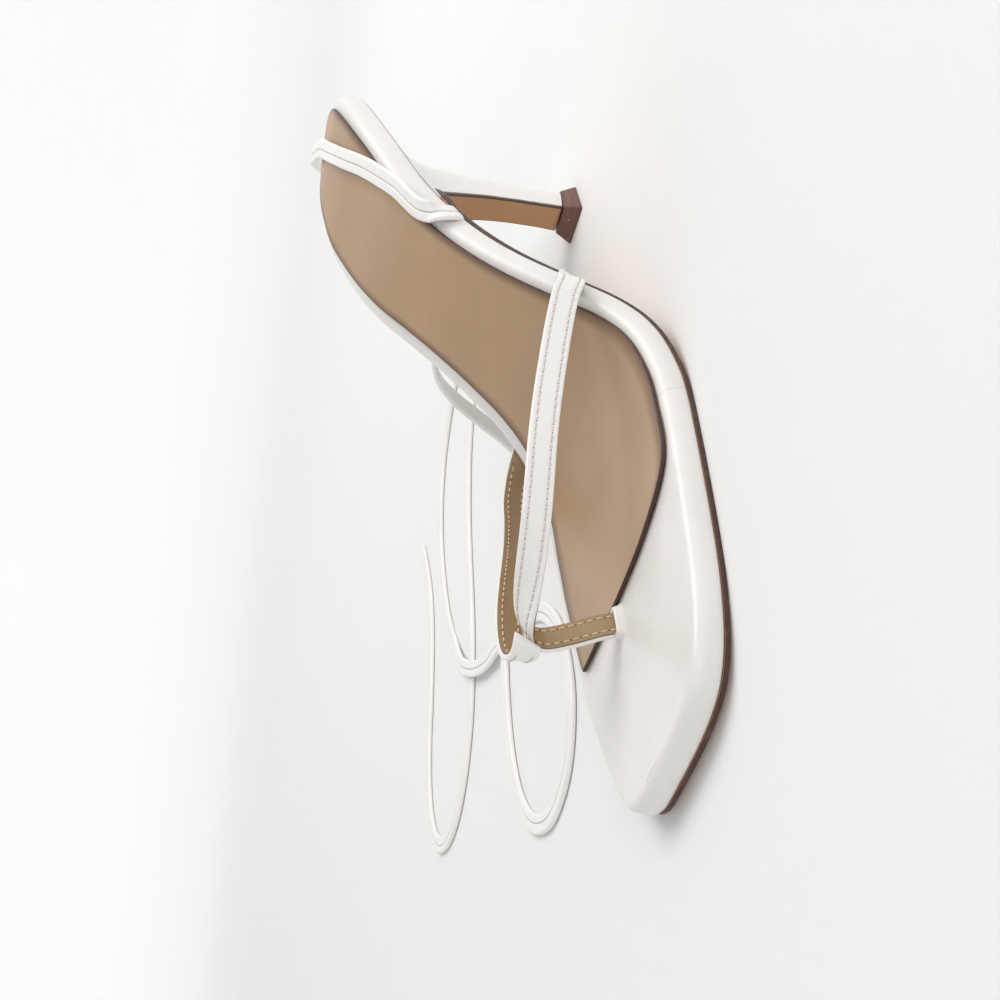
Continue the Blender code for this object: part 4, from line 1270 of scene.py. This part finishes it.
def build_lace(name, route):
    """Flat tie folded from soft leather, with the closing line of the fold along one face."""
    frames = frames_along(route, LACE_STEP)
    half, deep = LACE_WIDTH / 2, LACE_THICKNESS / 2
    section = flat_section(half, -deep, deep, LACE_CORNER, 34, [(FOLD_AT, FOLD_HALF_WIDTH, FOLD_DEPTH)])
    loops = []
    for centre, _, across, outward, gone in frames:
        wide = across * (1 + LACE_WAVER * noise.noise(Vector((gone * 0.11, 0, 7))))
        puff = LACE_PUFF * noise.noise(Vector((gone * 0.2, 3, 0)))
        loops.append([centre + wide * a + outward * (b + puff * (1 - abs(a) / half)) for a, b in section])

    # Painted shade in the groove along the fold's closing line, on the upper face only.
    def shade_and_dye(r, i):
        return math.exp(-((section[i][0] - FOLD_AT) / FOLD_SHADE_WIDTH) ** 2) if section[i][1] > 0 else 0.0

    return loft(name + "_tie", loops, [LACE_WHITE], shade_and_dye_of=shade_and_dye), [metres(f[0]) for f in frames]


# Studio

def build_studio():
    """Round pale floor that sweeps up into a low wall on all sides."""
    flat = FLOOR_RINGS[-1]
    profile = [(radius, 0.0) for radius in FLOOR_RINGS]
    for share in even_shares(SWEEP_STEPS)[1:]:
        angle = share * math.pi / 2
        profile.append((flat + SWEEP_RADIUS * math.sin(angle), SWEEP_RADIUS * (1 - math.cos(angle))))
    profile.append((flat + SWEEP_RADIUS, SWEEP_RADIUS + WALL_HEIGHT))
    mesh = bmesh.new()
    rings = []
    for radius, height in profile:
        ring = circle(Vector((0, 0, height)), Vector((1, 0, 0)), Vector((0, 1, 0)), radius, STUDIO_SIDES)
        rings.append([mesh.verts.new(point) for point in ring])
    mesh.faces.new(rings[0])
    join_rings(mesh, rings[::-1])
    data = bpy.data.meshes.new("studio_floor")
    mesh.to_mesh(data)
    mesh.free()
    data.materials.append(plain_studio())
    data.shade_smooth()
    floor = bpy.data.objects.new("studio_floor", data)
    bpy.context.scene.collection.objects.link(floor)


def build_lights():
    world = bpy.data.worlds.new("studio_world")
    bpy.context.scene.world = world
    world.use_nodes = True
    background = world.node_tree.nodes["Background"]
    background.inputs["Color"].default_value = (1.0, 1.0, 1.0, 1.0)
    background.inputs["Strength"].default_value = WORLD_STRENGTH
    for name, spot, aim, size, power, colour in LAMPS:
        data = bpy.data.lights.new(name, "AREA")
        data.shape = "SQUARE"
        data.size = size
        data.energy = power
        data.color = colour
        lamp = bpy.data.objects.new(name, data)
        bpy.context.scene.collection.objects.link(lamp)
        lamp.location = spot
        lamp.rotation_mode = "QUATERNION"
        lamp.rotation_quaternion = (Vector(aim) - Vector(spot)).to_track_quat("-Z", "Y")
    bpy.context.scene.view_settings.view_transform = "Standard"


def build_camera():
    """Photo's viewpoint, turned about its centre so that the one shoe and its ties fill the frame."""
    half = FRAME_PIXELS / 2
    forward = (
        CAMERA_FORWARD
        + CAMERA_RIGHT * ((AIM_PIXEL[0] - half) / FOCAL_PIXELS)
        + CAMERA_DOWN * ((AIM_PIXEL[1] - half) / FOCAL_PIXELS)
    ).normalized()
    right = (CAMERA_RIGHT - forward * CAMERA_RIGHT.dot(forward)).normalized()
    down = forward.cross(right)
    data = bpy.data.cameras.new("photo_camera")
    data.sensor_width = SENSOR_MM
    data.lens = SENSOR_MM * FOCAL_PIXELS / FRAME_PIXELS
    data.clip_start = 0.01
    camera = bpy.data.objects.new("photo_camera", data)
    bpy.context.scene.collection.objects.link(camera)
    turn = Matrix((right, -down, -forward)).transposed().to_4x4()
    camera.matrix_world = Matrix.Translation(metres(CAMERA_CENTRE)) @ turn
    bpy.context.scene.camera = camera


def main():
    build_camera()
    for name, x, lateral, on_shoe, free in (
        ("lace_lateral", LATERAL_LACE_X, True, LATERAL_LACE_ON_SHOE, LATERAL_LACE_FREE),
        ("lace_medial", MEDIAL_LACE_X, False, MEDIAL_LACE_ON_SHOE, MEDIAL_LACE_FREE),
    ):
        tie, path = build_lace(name, lace_route(x, lateral, on_shoe, free))
        dress(tie, "laces", name)
    dress(build_footbed(), "footbed", "footbed")
    dress(build_insole(), "insole", "insole")
    dress(build_insole_edge(), "insole")
    dress(build_outsole(), "outsole", "outsole")
    dress(build_heel(), "heel", "heel")
    dress(build_lift(), "heel_lift", "heel_lift")
    nail = (Vector(NAIL_AT), Vector(NAIL_FACING))
    dress(dots("lift_nail", [nail], NAIL_RADIUS, NAIL_DEPTH, NAIL), "heel_lift")
    upper = build_upper()
    for piece in upper:
        dress(piece, "upper")
    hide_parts("upper")
    dress(build_post_welt(), "footbed")
    build_studio()
    build_lights()


main()
